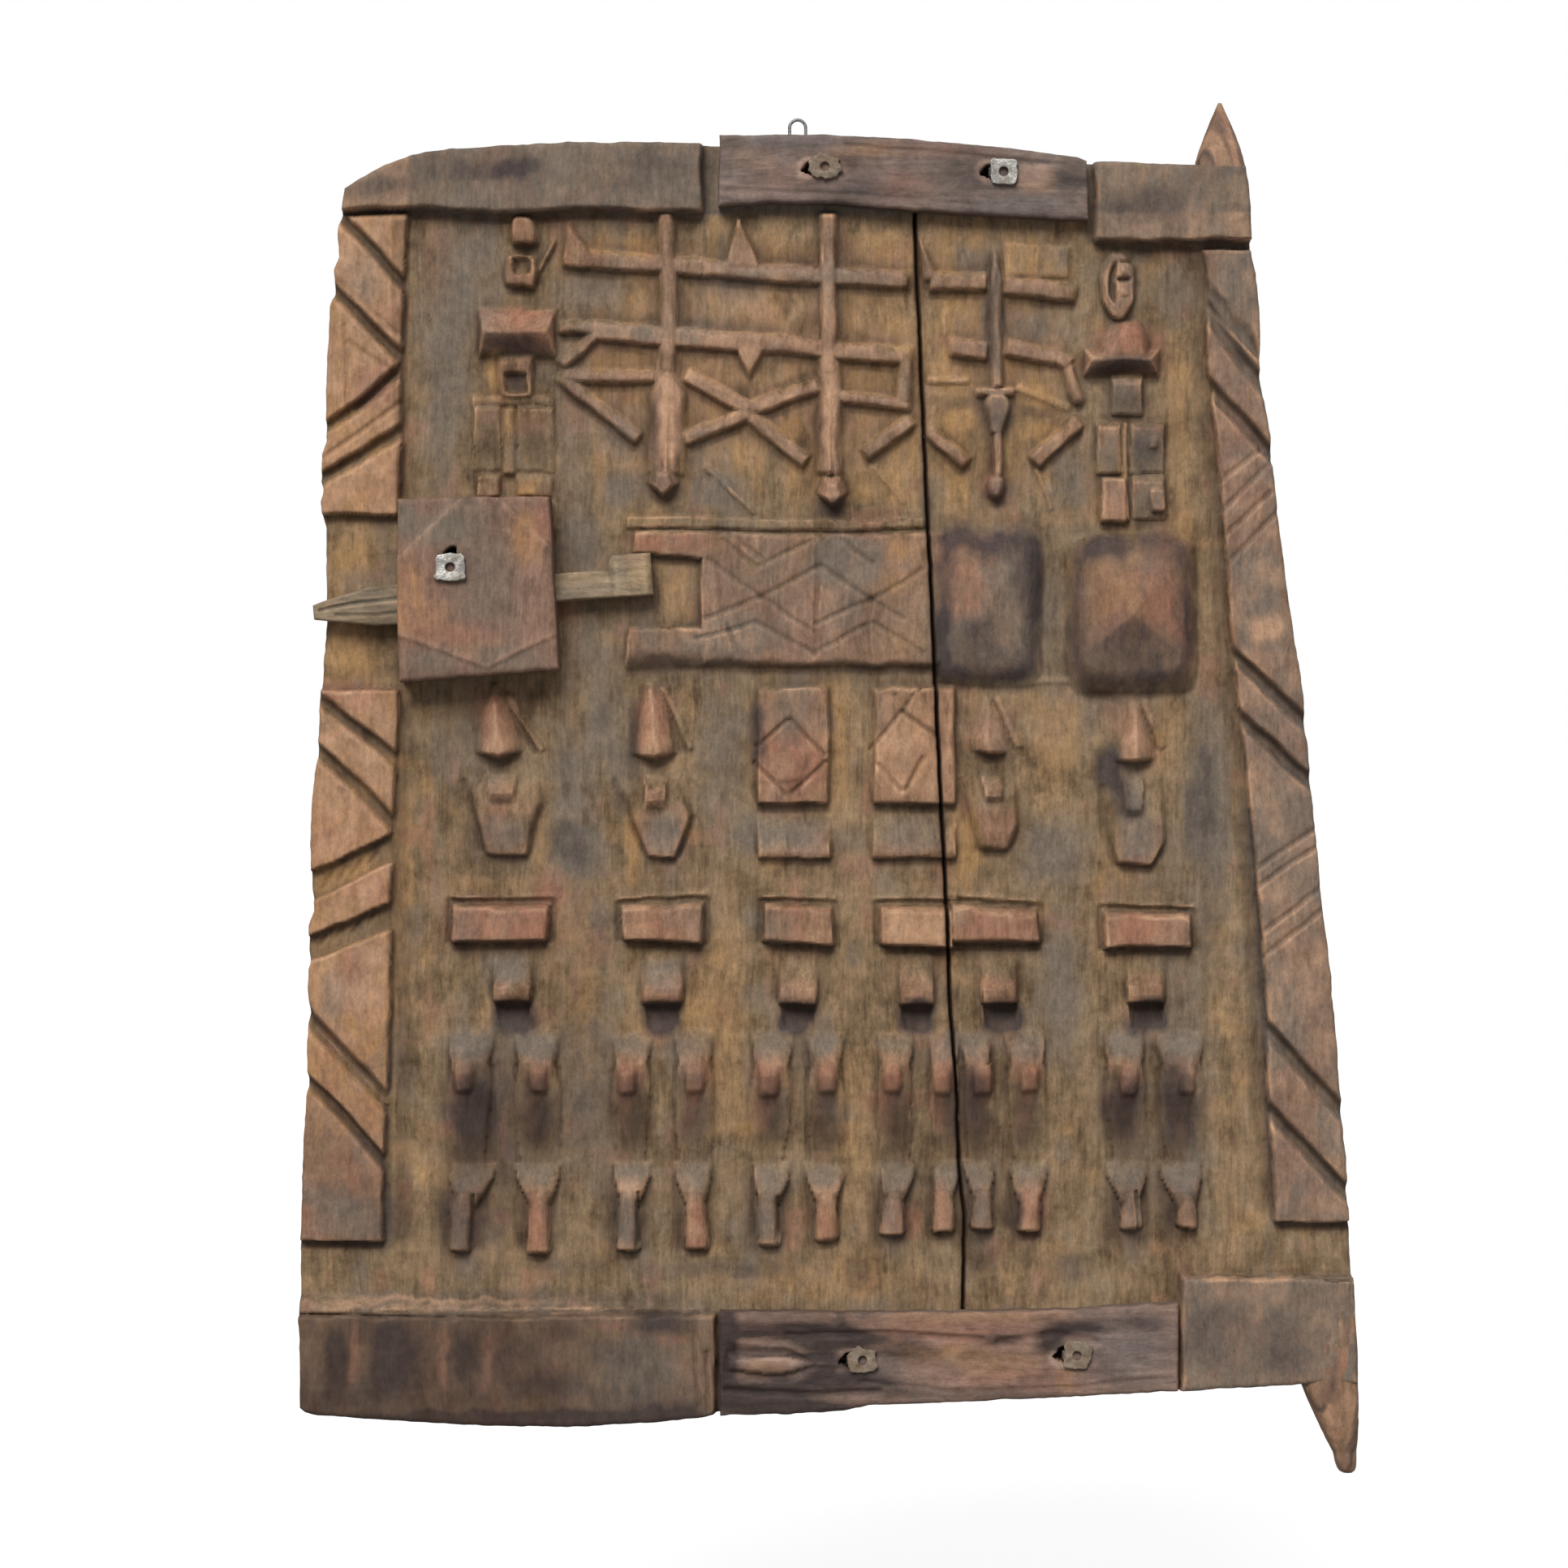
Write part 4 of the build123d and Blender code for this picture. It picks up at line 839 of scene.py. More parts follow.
    cut.sink(((391, 616), (418, 614), (417, 627), (393, 628)), 2.6, side=4, up=1.4, down=8)
    cut.sink(((440, 610), (465, 612), (463, 620), (441, 626)), 2.6, side=4, up=1.4, down=8)
    cut.block(200, 387, 544, 552, 3.5, up=2)
    cut.gouge(((165, 559), (277, 553)), 3.5, 3.0, 0.3)
    cut.gouge(((285, 553), (374, 549)), 3.5, 3.0, 0.3)
    cut.gouge(((392, 554), (462, 553)), 3.0, 1.6)
    cut.sink(((180, 560), (208, 560), (205, 580), (182, 576)), 1.4, side=5, up=5, down=3)
    cut.sink(((240, 561), (268, 560), (262, 578), (242, 580)), 1.4, side=5, up=5, down=3)
    for at_u, half, tip_u, tip_v in ((226, 13, 224, 563), (325.5, 9.5, 327, 557)):
        cut.bar((at_u - 0.5, 740), (at_u, 640), 13, 8.5, side=4.5)
        cut.slab((
            (at_u - half, 578), (at_u + half, 576), (at_u + half + 1, 626), (at_u + 9, 655), (at_u - 9, 655),
            (at_u - half, 630),
        ), 7.5, side=half - 3, up=9, down=3)
        cut.slab(
            ((at_u - 3, 578), (at_u + 4, 578), (at_u + 3, 634), (at_u - 2, 634)), 12.5, side=3.4, up=8,
            faceted=0.8,
        )
        cut.slab((
            (tip_u - 10, tip_v + 11), (tip_u, tip_v), (tip_u + 11, tip_v + 11), (tip_u + 7, tip_v + 23),
            (tip_u - 6, tip_v + 23),
        ), 13.5, side=7, up=9, faceted=0.8)
    cut.slab(((423.5, 699), (424, 631), (433, 631), (434, 697), (428.5, 721)), 8.5, side=4)
    cut.block(415, 440, 626, 632, 6, up=2.5)
    cut.slab(((419, 621), (424, 603), (433, 603), (438, 621), (434, 628), (422, 628)), 9, side=4)
    cut.block(426, 432.5, 576, 606, 8, side=2.4)
    cut.slab(
        ((421, 570), (424, 562), (432, 562), (435, 570), (433, 578), (423, 578)), 11, side=4, up=4, down=2.5,
    )
    # The chequered plate beside the lock, and the two domes.
    cut.slab(((203, 528.5), (254, 524), (254, 543), (205, 543)), 6.5)
    cut.slab(((247, 458), (400, 458), (400, 543), (250, 543), (246, 524), (246, 484)), 6.5, down=5)
    cut.slab(((199, 457), (400, 457), (400, 484), (203, 484)), 6.5, down=13)
    for path in (
        ((251, 525), (283, 502), (316, 481)), ((249, 489), (283, 502), (319, 522), (355, 499), (372, 489)),
        ((317, 486), (352, 501), (384, 518)), ((259, 538), (281, 521), (316, 539)), ((264, 542), (284, 526)),
        ((354, 487), (384, 467)), ((244, 476), (279, 487), (316, 467), (350, 486)), ((318, 541), (317, 466)),
        ((330, 540), (352, 524)), ((262, 485), (268, 466)),
    ):
        cut.gouge(path, 4.2, 1.5)
    for at_u, at_v, wide, tall, proud in domes:
        across = np.abs(cut.u - at_u) / (wide / 2)
        up = np.abs(cut.v - at_v) / (tall / 2)
        inside = held((1 - (across ** 8 + up ** 8) ** (1 / 8)) / 0.3)
        facets = held(1 - (across ** 9 + up ** 9) ** (1 / 9))
        cut.height = np.maximum(cut.height, proud * (0.36 * np.sin(pi / 2 * inside) + 0.75 * facets))
    cut.block(391, 545, 449, 455, 1.6, up=4, down=2)
    # The six standing figures: long faces and square masks, shoulders, bellies and legs.
    for corners in chins:
        cut.slab(corners, 6.5, side=4, up=26, down=2.5)
    for path in jaw_lines:
        cut.gouge(path, 6, 1.6)
    for path in cheek_lines:
        cut.bar(*path, 6, 2.4, side=2.5, up=2.5)
        (u0, v0), (u1, v1) = path
        cut.gouge(((u0 - 3, v0 - 4), (u1 - 6, v1)), 6, 2.2)
    for corners, proud in long_faces:
        cut.slab(corners, proud, side=12, up=9, down=4, faceted=0.55)
    for mouth in mouths:
        cut.jut(*mouth, 9.0, 0.1)
    cut.slab(((281, 375), (326, 374), (325, 447), (281, 447)), 7.5)
    cut.slab(((352, 375), (404, 374), (404, 447), (352, 447)), 7.5)
    for path in (
        ((280, 399), (300, 380)), ((281, 409), (299, 426)), ((301, 426), (322, 404)),
        ((304, 381), (323, 399)), ((350, 407), (369, 431)), ((371, 431), (393, 416)),
        ((355, 398), (370, 383)), ((384, 402), (373, 383)), ((366, 441), (371, 432), (382, 446)),
    ):
        cut.gouge(path, 4.0, 2.2)
    cut.slab(((290, 384), (316, 384), (318, 408), (302, 422), (287, 406)), 9.5, side=9, up=9, down=6)
    cut.jut(281, 328, 341, 345, 369, 6.5, 0.8)
    cut.jut(352, 404, 341, 345, 369, 6.5, 0.8)
    for corners in shoulders:
        (u0, v0), (u1, v1), (u2, v2), (u3, v3) = corners
        cut.sink(((u0 - 4, v0 - 2), (u1 + 5, v1 - 2), (u2 + 5, v2 + 3), (u3 - 4, v3 + 3)), 1.8)
        cut.slab(corners, 12.0, up=4.5, side=2.0, down=1.6)
        cut.bar((u3 - 2, v3 + 4.5), (u2 + 3, v2 + 4.5), 2.6, 1.6, up=1.2, down=1.0)
    for middle, half in bellies:
        left, right = middle - half, middle + half
        cut.sink(((left + 3, 233), (right - 1, 233), (right, 255), (left, 255)), 4.5, side=2, up=1, down=15)
        cut.limb(middle, middle, (
            (251.5, half - 0.5, 0, 8), (252.8, half, 8.0, 8), (256.5, half, 9.5, 8),
            (261, half, 9.0, 8), (264, half, 6.5, 8), (272, half, 3.5, 6), (286, half + 1, 0, 6),
        ))
    for middle, knee, half, foot_v in legs:
        cut.sink(box(middle - half - 2, middle + half + 2, 96, 214), 1.6, side=5, up=3, down=14)
        cut.limb(knee, middle, (
            (154, half * 0.8, 0, 6), (166, half * 0.9, 1.6, 6), (182, half, 2.6, 7), (200, half, 3.4, 8),
            (208, half * 0.92, 5.0, 7), (215, half * 0.82, 7.2, 6), (223, half * 0.95, 5.5, 7),
            (236, half + 1, 0, 8),
        ))
        cut.limb(knee, knee, (
            (178, 4, 2.5, 2), (188, 4.6, 3.6, 2), (195, 5.4, 4.6, 2.4), (199, 6.0, 8.6, 3),
            (209, 6.4, 9.8, 3.4), (215, 6.4, 7.5, 4),
        ))
        cut.limb(knee, middle, (
            (119, half * 0.4, 0, 2), (129, half * 0.5, 6.0, 3), (137, half * 0.72, 7.5, 6),
            (145, half * 0.92, 4.5, 8), (155, half, 0, 8),
        ))
        cut.limb(knee, knee, (
            (foot_v, 6.2, 4, 3), (foot_v + 2, 7.2, 8.2, 3), (120, 6.8, 8.6, 2.6), (134, 5.8, 8, 2.6),
            (140, 5.2, 5, 2.6),
        ))
    for path in (
        ((105.7, 101), (105.7, 134)), ((207.5, 103), (208, 136)), ((293, 106), (294, 134)),
        ((515, 113), (514, 136)),
    ):
        cut.gouge(path, 3.0, 3.5)
    # The bands and corner blocks, standing almost as high as the battens between them.
    cut.block(-30, 249, 738.5, 850, band_proud, down=2.2)
    cut.slab(((-30, -40), (257.4, -40), (257.4, 63), (-30, 61)), band_proud, up=2.5)
    cut.block(487.5, 700, 720, 850, band_proud, down=2.2)
    cut.block(541.5, 700, -40, 85, band_proud, up=2.5)
    cut.slab(((-30, 60), (252, 60), (252, 66), (130, 70), (-30, 73)), 10, up=8, down=2)
    cut.gouge(((50, 63.5), (150, 63.5), (246, 62.5)), 2.6, 2.4)
    cut.gouge(((244, 62), (246, 6)), 3.5, 2.0)
    cut.gouge(((251, 40), (252, 4)), 3.0, 2.5)
    grown = cut.height
    height = height * np.clip(1.25 - 0.05 * grown, 0.5, 1.3) + grown
    # Fibres raised by the weather, chisel chatter and long drying cracks.
    height += 0.16 * noise(u, v, 1.9, 60, 31) + 0.14 * noise(u, v, 3.6, 34, 32)
    chattered = step(noise(u, v, 34, 40, 37) * 2)
    height += 0.1 * noise(u, v, 1.6, 9, 33) + 0.12 * noise(u, v, 16, 2.1, 36) * chattered
    for wide, tall, seed, deep, fine in ((17, 210, 34, 0.9, 0.03), (11, 120, 35, 0.5, 0.035)):
        path = np.abs(noise(u, v, wide, tall, seed))
        there = step(noise(u, v, 60, 90, seed + 40) * 2.5 - 0.3)
        height -= deep * there * held(1 - path / fine)
    cell = 1.25 / plank_pitch
    # Painted shade: this darkening mark falls under raised forms and beside them, in hollows, round the
    # figures (most in the emblems) and beside the borders' inner edges. It also darkens the line of the seam
    # and the foot band, most towards the latch side.
    low = softened(height, round(4 * cell))
    rounded = softened(grown, round(cell))
    over = shifted(softened(height, 1), 0, round(4 * cell))
    under = shifted(height, 0, -round(2 * cell))
    beside = np.maximum(shifted(height, round(2 * cell), 0), shifted(height, -round(2 * cell), 0))
    grime = held((over - height - 0.9) / 4.5) + 0.5 * held((beside - height - 1.2) / 6)
    grime += 0.3 * held((low - height - 0.4) / 1.8) + 0.15 * held((under - height - 1.5) / 5)
    hollow = softened(softened(grown, round(9 * cell)), round(6 * cell)) - grown
    grime += 0.6 * np.exp(-((u - seam_middle(v)) / 2.6) ** 2)
    grime += 0.32 * held((hollow - 0.4) / 2.6) * (u > 70) * (u < 550)
    emblem = within(u, 165, 20, 478, 20) * within(v, 550, 20, 735, 20)
    grime += 0.4 * emblem * held((hollow - 0.2) / 1.6)
    past_edge = u - pivot_border_edge(v)
    beside_border = within(past_edge, -12, 8, 2.5, 2) * within(v, 120, 6, 712, 6)
    beside_border += within(cut.u, 57, 3, 72, 9) * within(v, 104, 4, 736, 4)
    grime += 0.6 * beside_border
    grime += spots(cut.u, cut.v, stains["grime"]) + spots(cut.u, cut.v, shade_beside_shins) * step((3 - grown) / 2)
    grime += step((64 - v) / 3) * (u < 258) * (0.34 + 0.5 * step((200 - u) / 40))
    grime = np.clip(grime, 0, 0.95) * (0.8 + 0.25 * noise(u, v, 9, 14, 50))
    proud = step((grown - 2.5) / 5)
    rubbed = held(0.35 + 0.9 * noise(u, v, 13, 13, 49))
    worn = held((grown - rounded - 0.12) / 0.8) * (0.25 + 0.75 * rubbed)
    patches = 0.5 + 0.5 * noise(u, v, 30, 60, 51)
    streaks = 0.5 + 0.5 * noise(u, v, 7, 120, 52)
    strayed_u = u + 2.2 * noise(u, v, 14, 22, 56) + 1.5 * noise(u, v, 5, 9, 57)
    strayed_v = v + 2.4 * noise(u, v, 18, 16, 58) + 1.5 * noise(u, v, 7, 6, 59)
    tongue_zone = within(v, 443, 5, 553, 5)
    border = step((64 - u + 0.02 * (v - 400)) / 5) * step((v - 98) / 8) * (1 - 0.75 * tongue_zone)
    pivot_border = step((u - np.interp(v, (118, 400, 710), (596, 579, 553))) / 5)
    pivot_border *= within(v, 112, 8, 722, 6)
    band = np.maximum(step((v - 736) / 3), step((64 - v) / 3) * (u < 258))
    corner = np.maximum(step((u - 486) / 2) * step((v - 718) / 3), step((u - 541) / 2) * step((86 - v) / 3))
    in_groove = np.maximum(border, pivot_border) * step((6.5 - grown) / 3)
    ledge = spots(u, v, ((110, 68, 160, 8, 1.0),))
    # Soot on the domes, a dark ring round each one's foot, and painted shade on the facets below each peak,
    # taken off again round one pale spot.
    smoke_and_shade_on_domes = np.zeros_like(u)
    for (at_u, at_v, wide, tall, _), smoky, lower_facet_shade in zip(domes, (0.12, 0.3), (0.2, 0.72)):
        across = (strayed_u - at_u) / (wide / 2)
        up = (strayed_v - at_v) / (tall / 2)
        edge = 1 - (across ** 6 + up ** 6) ** (1 / 6)
        below = step((2 - (v - at_v) - 0.8 * np.abs(u - at_u)) / 7)
        lower = lower_facet_shade * below * (1 + 0.5 * np.clip(up, -1, 0))
        round_edge = step((0.6 - edge) / 0.55) * (0.85 + 0.35 * noise(u, v, 20, 20, 53))
        darkening = np.maximum(np.maximum(smoky, lower), 0.95 * round_edge) * step((edge + 0.08) / 0.3)
        smoke_and_shade_on_domes = np.maximum(smoke_and_shade_on_domes, darkening * (u > seam_middle(v)))
    smoke_and_shade_on_domes *= 1 - 0.9 * spots(strayed_u, strayed_v, ((408, 503, 11, 14, 1.0),))
    levels = {
        "worn": (0.7 * worn + 0.32 * proud * rubbed) * (1 - 0.4 * band) + 0.18 * corner * (v > 400)
        + (0.3 * border * step((v - 200) / 60) + 0.1 * pivot_border) * (1 - in_groove) + spots(u, v, noses),
        "gold": (0.7 * border * step((v - 140) / 60) + 0.1 * pivot_border) * (1 - 0.8 * in_groove)
        + 0.24 * patches * streaks + 0.35 * held(2 * noise(u, v, 18, 15, 61) - 0.7)
        + emblem * ((0.2 + 0.4 * streaks) * (1 - proud) - 0.2 * proud),
        "rose": (0.26 * proud * (1 - ledge) * (1 - 0.5 * band) + 0.25 * pivot_border) * (1 - 0.5 * in_groove)
        + 0.12 * patches + 0.4 * held(2 * noise(u, v, 15, 18, 63) - 0.8) + 0.16 * proud * (1 - ledge),
        "ash": 0.2 * (1 - patches) + 0.12 * (1 - streaks) + 0.35 * held(2 * noise(u, v, 16, 24, 62) - 0.8)
        + band * (0.2 + 0.4 * (v > 400)) + 0.6 * corner + emblem * (0.04 + 0.24 * proud) + 0.5 * pivot_border
        + 0.4 * ledge,
        # Soot, with painted shade in the borders' grooves and on the domes' lower facets.
        "soot": smoke_and_shade_on_domes + 0.16 * held(noise(u, v, 40, 70, 54)) + 0.08 * corner + 0.34 * in_groove
        + band * (0.08 + 0.3 * held(noise(u, v, 26, 14, 55)) + 0.18 * (v < 400)),
    }
    marks = {mark: held(level + spots(strayed_u, strayed_v, stains[mark])) for mark, level in levels.items()}
    marks["grime"] = grime
    return ground_y - height, marks


def hewn_back(u, v):
    """The plain back, flattened with an adze."""
    scallops = np.abs(noise(u, v, 30, 46, 61)) + 0.4 * np.abs(noise(u, v, 13, 24, 63))
    return back_y - 1.5 * scallops + 0.1 * noise(u, v, 2.2, 60, 62)


plain_wood = {"gold": 0.25, "rose": 0.15, "ash": 0.4, "soot": 0.12, "grime": 0.0, "worn": 0.1}
latch_side = curve(latch_edge, 0.5, 81)
pivot_side = curve(pivot_edge, 0.5, 83)
panel_foot = curve(foot_edge, 0.5, 85)
panel_head = curve(head_edge, 0.5, 87)
seam = curve(seam_line, 0.35, 89)
wide_plank = hew(
    "wide_plank_carved", (latch_side, lambda v: seam(v) - seam_half, panel_foot, panel_head),
    (plank_arris, seam_arris, plank_arris, plank_arris), plank_pitch, panel_relief, hewn_back, plain_wood,
    carved_wood, foot, swollen=(0, seam_half + 0.02),
)
narrow_plank = hew(
    "narrow_plank_carved", (lambda v: seam(v) + seam_half, pivot_side, panel_foot, panel_head),
    (seam_arris, plank_arris, plank_arris, plank_arris), plank_pitch, panel_relief, hewn_back, plain_wood,
    carved_wood, foot, swollen=(seam_half + 0.02, 0),
)
for plank, node in ((wide_plank, "wide_plank"), (narrow_plank, "narrow_plank")):
    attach(plank, "door")
    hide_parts(node)

# The pivots: a leg and a point left on the pivot-side plank, cut round, the lower one worn to a
# journal by years of turning in its socket.
pivot_around = 60
pivot_pitch = 1.2
pivot_waver = 0.35
pivot_blend = 50.0
pivot_tint = {"gold": 0.2, "rose": 0.55, "ash": 0.3, "soot": 0.02, "grime": 0.0, "worn": 0.42}
# Each ring by its height, left side, right side, half its depth and how square it is.
lower_pivot_rings = (
    (84, 629, 647.9, 18.3, 7), (60, 628, 649.2, 18.4, 7), (40, 625, 650.5, 18.4, 6),
    (24, 619, 651, 18.3, 5.5), (16, 618.2, 651.2, 17.6, 5), (6, 622, 651.8, 16.2, 4),
    (-6, 627.6, 652, 14, 3.2), (-16, 632.2, 651.8, 11.4, 2.6), (-22.5, 635.6, 651.3, 8.4, 2.2),
    (-25, 637, 651, 7.1, 2), (-31, 638.2, 651, 6.9, 2), (-34.5, 639.4, 650.8, 5.8, 2),
    (-36.8, 641, 650, 4.4, 2), (-38, 643.2, 648.6, 2.4, 2),
)
upper_pivot_rings = (
    (722, 569.5, 585.4, 18.2, 7), (740, 567.5, 584.8, 18.3, 7), (756, 562, 583.8, 18.2, 5.5),
    (765, 553, 582.4, 17, 4), (771, 552.4, 581.2, 15.6, 3.4), (779, 554.8, 579.4, 13.2, 2.8),
    (788, 558.2, 576.2, 9.8, 2.3), (797, 561.6, 572.6, 6.2, 2), (803, 564, 569.9, 3.4, 2),
    (807.4, 565.8, 568, 1.2, 2),
)


def squared(wave, power):
    """A sine or cosine, the squarer the smaller the power."""
    return np.sign(wave) * np.abs(wave) ** power


def turned(name, rings, root):
    """A pivot cut round from its rings, in the planks' tints at its root and its own away from it."""
    table = np.array(sorted(rings), float)
    levels = np.arange(table[0, 0], table[-1, 0] + 0.01, pivot_pitch)
    left, right, deep, square = (np.interp(levels, table[:, 0], column) for column in table.T[1:])
    angle = np.linspace(0, 2 * pi, pivot_around, endpoint=False)[None, :]
    c, s = np.cos(angle), np.sin(angle)
    power = 2 / square[:, None]
    x = (left + right)[:, None] / 2 + (right - left)[:, None] / 2 * squared(c, power)
    y = deep[:, None] * squared(s, power)
    z = levels[:, None] + 0 * angle
    swell = pivot_waver * (noise(x + 3 * y, z, 5, 22, 91) + 0.5 * noise(x - 2 * y, z, 2.4, 9, 92))
    x = x + swell * c
    y = y + swell * s
    points = point_rows(x, y, z)
    at = np.arange(x.size).reshape(x.shape)
    after = np.roll(at, -1, axis=1)
    walls = fours(at[:-1], after[:-1], after[1:], at[1:])
    caps = np.stack((at[0, ::-1], at[-1]))
    rooted = held(1 - np.abs(points[:, 2] - root) / pivot_blend)
    marks = {mark: level + (plain_wood[mark] - level) * rooted for mark, level in pivot_tint.items()}
    marks["grime"] = held(0.25 * noise(x, z, 4, 20, 93)).ravel()
    marks["rose"] = held(marks["rose"] + 0.35 * noise(x + y, z, 6, 20, 94).ravel())
    marks["soot"] = np.clip(marks["soot"] + 0.7 * noise(x + y, z, 4, 30, 95).ravel(), 0, 0.7)
    points += np.array(foot)
    return lay_mesh(name, points, [walls, caps], marks, carved_wood)


lower_pivot = turned("lower_pivot", lower_pivot_rings, 84)
upper_pivot = turned("upper_pivot", upper_pivot_rings, 722)
for pivot in (lower_pivot, upper_pivot):
    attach(pivot, "door")
    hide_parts("narrow_plank")

# The battens: two adzed bars of a darker, denser wood laid across the seam, smoked and charred
# round their holes, where hot irons were driven through.
batten_face_y = -21.0
batten_wear = 0.6
batten_arrises = (2.2, 2.2, 2.6, 2.6)
batten_pitch = 1.2
batten_wood = old_wood(
    "batten_wood", {
        "pale": (146, 126, 113), "dark": (96, 81, 74), "gold": (174, 134, 96), "rose": (150, 108, 90),
        "ash": (122, 113, 110), "soot": (34, 29, 30), "worn": (164, 136, 120), "shade_and_grime_colour": (26, 18, 14),
    }, along=(0.05, 1.0, 1.0),
)
top_hole_spots = ((313, 765), (423, 762))
bottom_hole_spots = ((336, 34), (468, 37))


def stained(u, v, **levels):
    """Marks from how strong each is everywhere, and its patches."""
    return {mark: held(level + spots(u, v, patches)) for mark, (level, patches) in levels.items()}


def along_grain(field_u, field_v, seed):
    """Fibre that runs along a batten."""
    return 0.2 * noise(field_u, field_v, 60, 2.0, seed) + 0.16 * noise(field_u, field_v, 30, 3.6, seed + 1)


def bored(cut, at_u, at_v, wide, tall, deep):
    """A ragged three-cornered hole burnt through."""
    corners = (
        (at_u - wide * 0.6, at_v - tall * 0.1), (at_u + wide / 2, at_v - tall / 2),
        (at_u + wide / 2, at_v + tall / 2), (at_u, at_v + tall / 2),
    )
    cut.sink(corners, deep, side=1.0, up=1.0, down=1.0)


def top_batten_face(u, v):
    """The depth of the top batten's face and the marks on it."""
    cut = Relief(u, v, np.zeros_like(u), 101)
    height = 0.7 * noise(u, v, 50, 22, 102) + 0.35 * noise(u, v, 18, 8, 103) + along_grain(u, v, 104)
    cut.gouge(((335, 779), (400, 773), (470, 766)), 3.0, 1.0)
    cut.gouge(((262, 752), (330, 749), (420, 742)), 2.5, 0.7)
    for at_u, at_v in top_hole_spots:
        bored(cut, at_u - 0.5, at_v - 0.5, 8.5, 9.5, 14)
    height += cut.height
    soft = softened(height, 4)
    stain = 0.5 + 0.5 * noise(u, v, 40, 12, 107)
    # Painted shade: grime darkens the gouges and burnt holes, by how far they lie below their surroundings.
    marks = stained(
        u, v,
        grime=((soft - height - 0.5) / 4, ()),
        worn=((height - soft) / 2 + 0.1 * stain, ((451, 759, 10, 7, 1.1), (345, 768, 20, 5, 0.3))),
        gold=(
            0,
            ((350, 776, 24, 6, 0.7), (330, 768, 16, 6, 0.5), (452, 757, 12, 8, 0.9), (280, 770, 16, 8, 0.4)),
        ),
        rose=(0.3 * stain, ((372, 756, 16, 10, 0.6), (300, 760, 20, 8, 0.3), (395, 775, 26, 5, 0.5))),
        ash=(0.35, ((300, 782, 40, 4, 0.4), (440, 742, 30, 5, 0.4))),
        soot=(0.35 * held(noise(u, v, 36, 10, 108)), (
            (410, 765, 22, 14, 0.5), (474, 762, 10, 14, 0.4), (330, 752, 40, 6, 0.4), (345, 766, 12, 8, 0.3),
        )),
    )
    return batten_face_y + batten_wear - height, marks


def bottom_batten_face(u, v):
    """The depth of the bottom batten's face and the marks on it."""
    cut = Relief(u, v, np.zeros_like(u), 111)
    height = 0.8 * noise(u, v, 50, 20, 112) + 0.4 * noise(u, v, 18, 7, 113) + along_grain(u, v, 114)
    swirl = np.abs(noise(u, v, 70, 16, 116)) + 0.35 * np.abs(noise(u, v, 26, 7, 117))
    deep = step((330 - u) / 60) * step((44 - v) / 14)
    height -= (0.5 + 1.3 * deep) * held(1 - swirl / 0.16)
    cut.sink(((258, 24), (300, 20), (322, 30), (300, 44), (262, 46)), 2.6, side=6, up=6, down=5)
    cut.slab(((262, 28), (296, 26), (318, 32), (296, 38), (264, 38)), 1.5, side=4, up=4, down=4)
    cut.gouge(((262, 16), (320, 14), (356, 16)), 5, 2.0)
    cut.gouge(((300, 50), (360, 51), (420, 47)), 5, 1.8, 0.3)
    cut.gouge(((345, 22), (400, 16), (470, 18), (536, 24)), 3.5, 1.0)
    cut.gouge(((430, 46), (462, 50), (490, 46)), 5, 1.4)
    for at_u, at_v in bottom_hole_spots:
        bored(cut, at_u - 0.5, at_v, 8, 10, 14)
    height += cut.height
    soft = softened(height, 4)
    stain = 0.5 + 0.5 * noise(u, v, 44, 9, 118)
    darkening = 0.3 * held(noise(u, v, 50, 8, 119)) + 0.14 * step((400 - u) / 60)
    # Painted shade: grime darkens the gouges, swirled hollows and burnt holes, by how far they lie below
    # their surroundings.
    marks = stained(
        u, v,
        grime=((soft - height - 0.4) / 3, ()),
        worn=((height - soft) / 2 + 0.15 * stain, ()),
        gold=(0.25 * stain, (
            (385, 44, 30, 12, 0.8), (430, 30, 24, 10, 0.6), (470, 22, 6, 8, 0.8), (285, 30, 14, 5, 0.8),
            (420, 60, 60, 4, 0.6),
        )),
        rose=(0.3, ((400, 50, 60, 8, 0.6), (440, 22, 50, 8, 0.3), (290, 52, 16, 5, 0.5))),
        ash=(0.15, ((510, 40, 26, 22, 0.5), (356, 32, 14, 12, 0.4))),
        soot=(darkening + 0.7 * held(1 - swirl / 0.24) * step((420 - u) / 120), (
            (262, 40, 7, 26, 1.0), (290, 14, 34, 9, 0.9), (300, 52, 40, 5, 0.7), (330, 46, 30, 6, 0.9),
            (345, 20, 22, 6, 0.5), (480, 54, 20, 5, 0.7), (462, 46, 10, 8, 0.8), (520, 56, 16, 6, 0.4),
            (430, 47, 14, 4, 0.6), (300, 4, 40, 4, 0.8), (400, 14, 60, 4, 0.4), (450, 36, 90, 30, 0.1),
            (320, 32, 12, 10, 0.6), (375, 40, 14, 10, 0.4),
        )),
    )
    return batten_face_y + batten_wear - height, marks


def batten_back(u, v):
    """Its underside, bedded on the planks."""
    return 0 * u + ground_y - 0.1


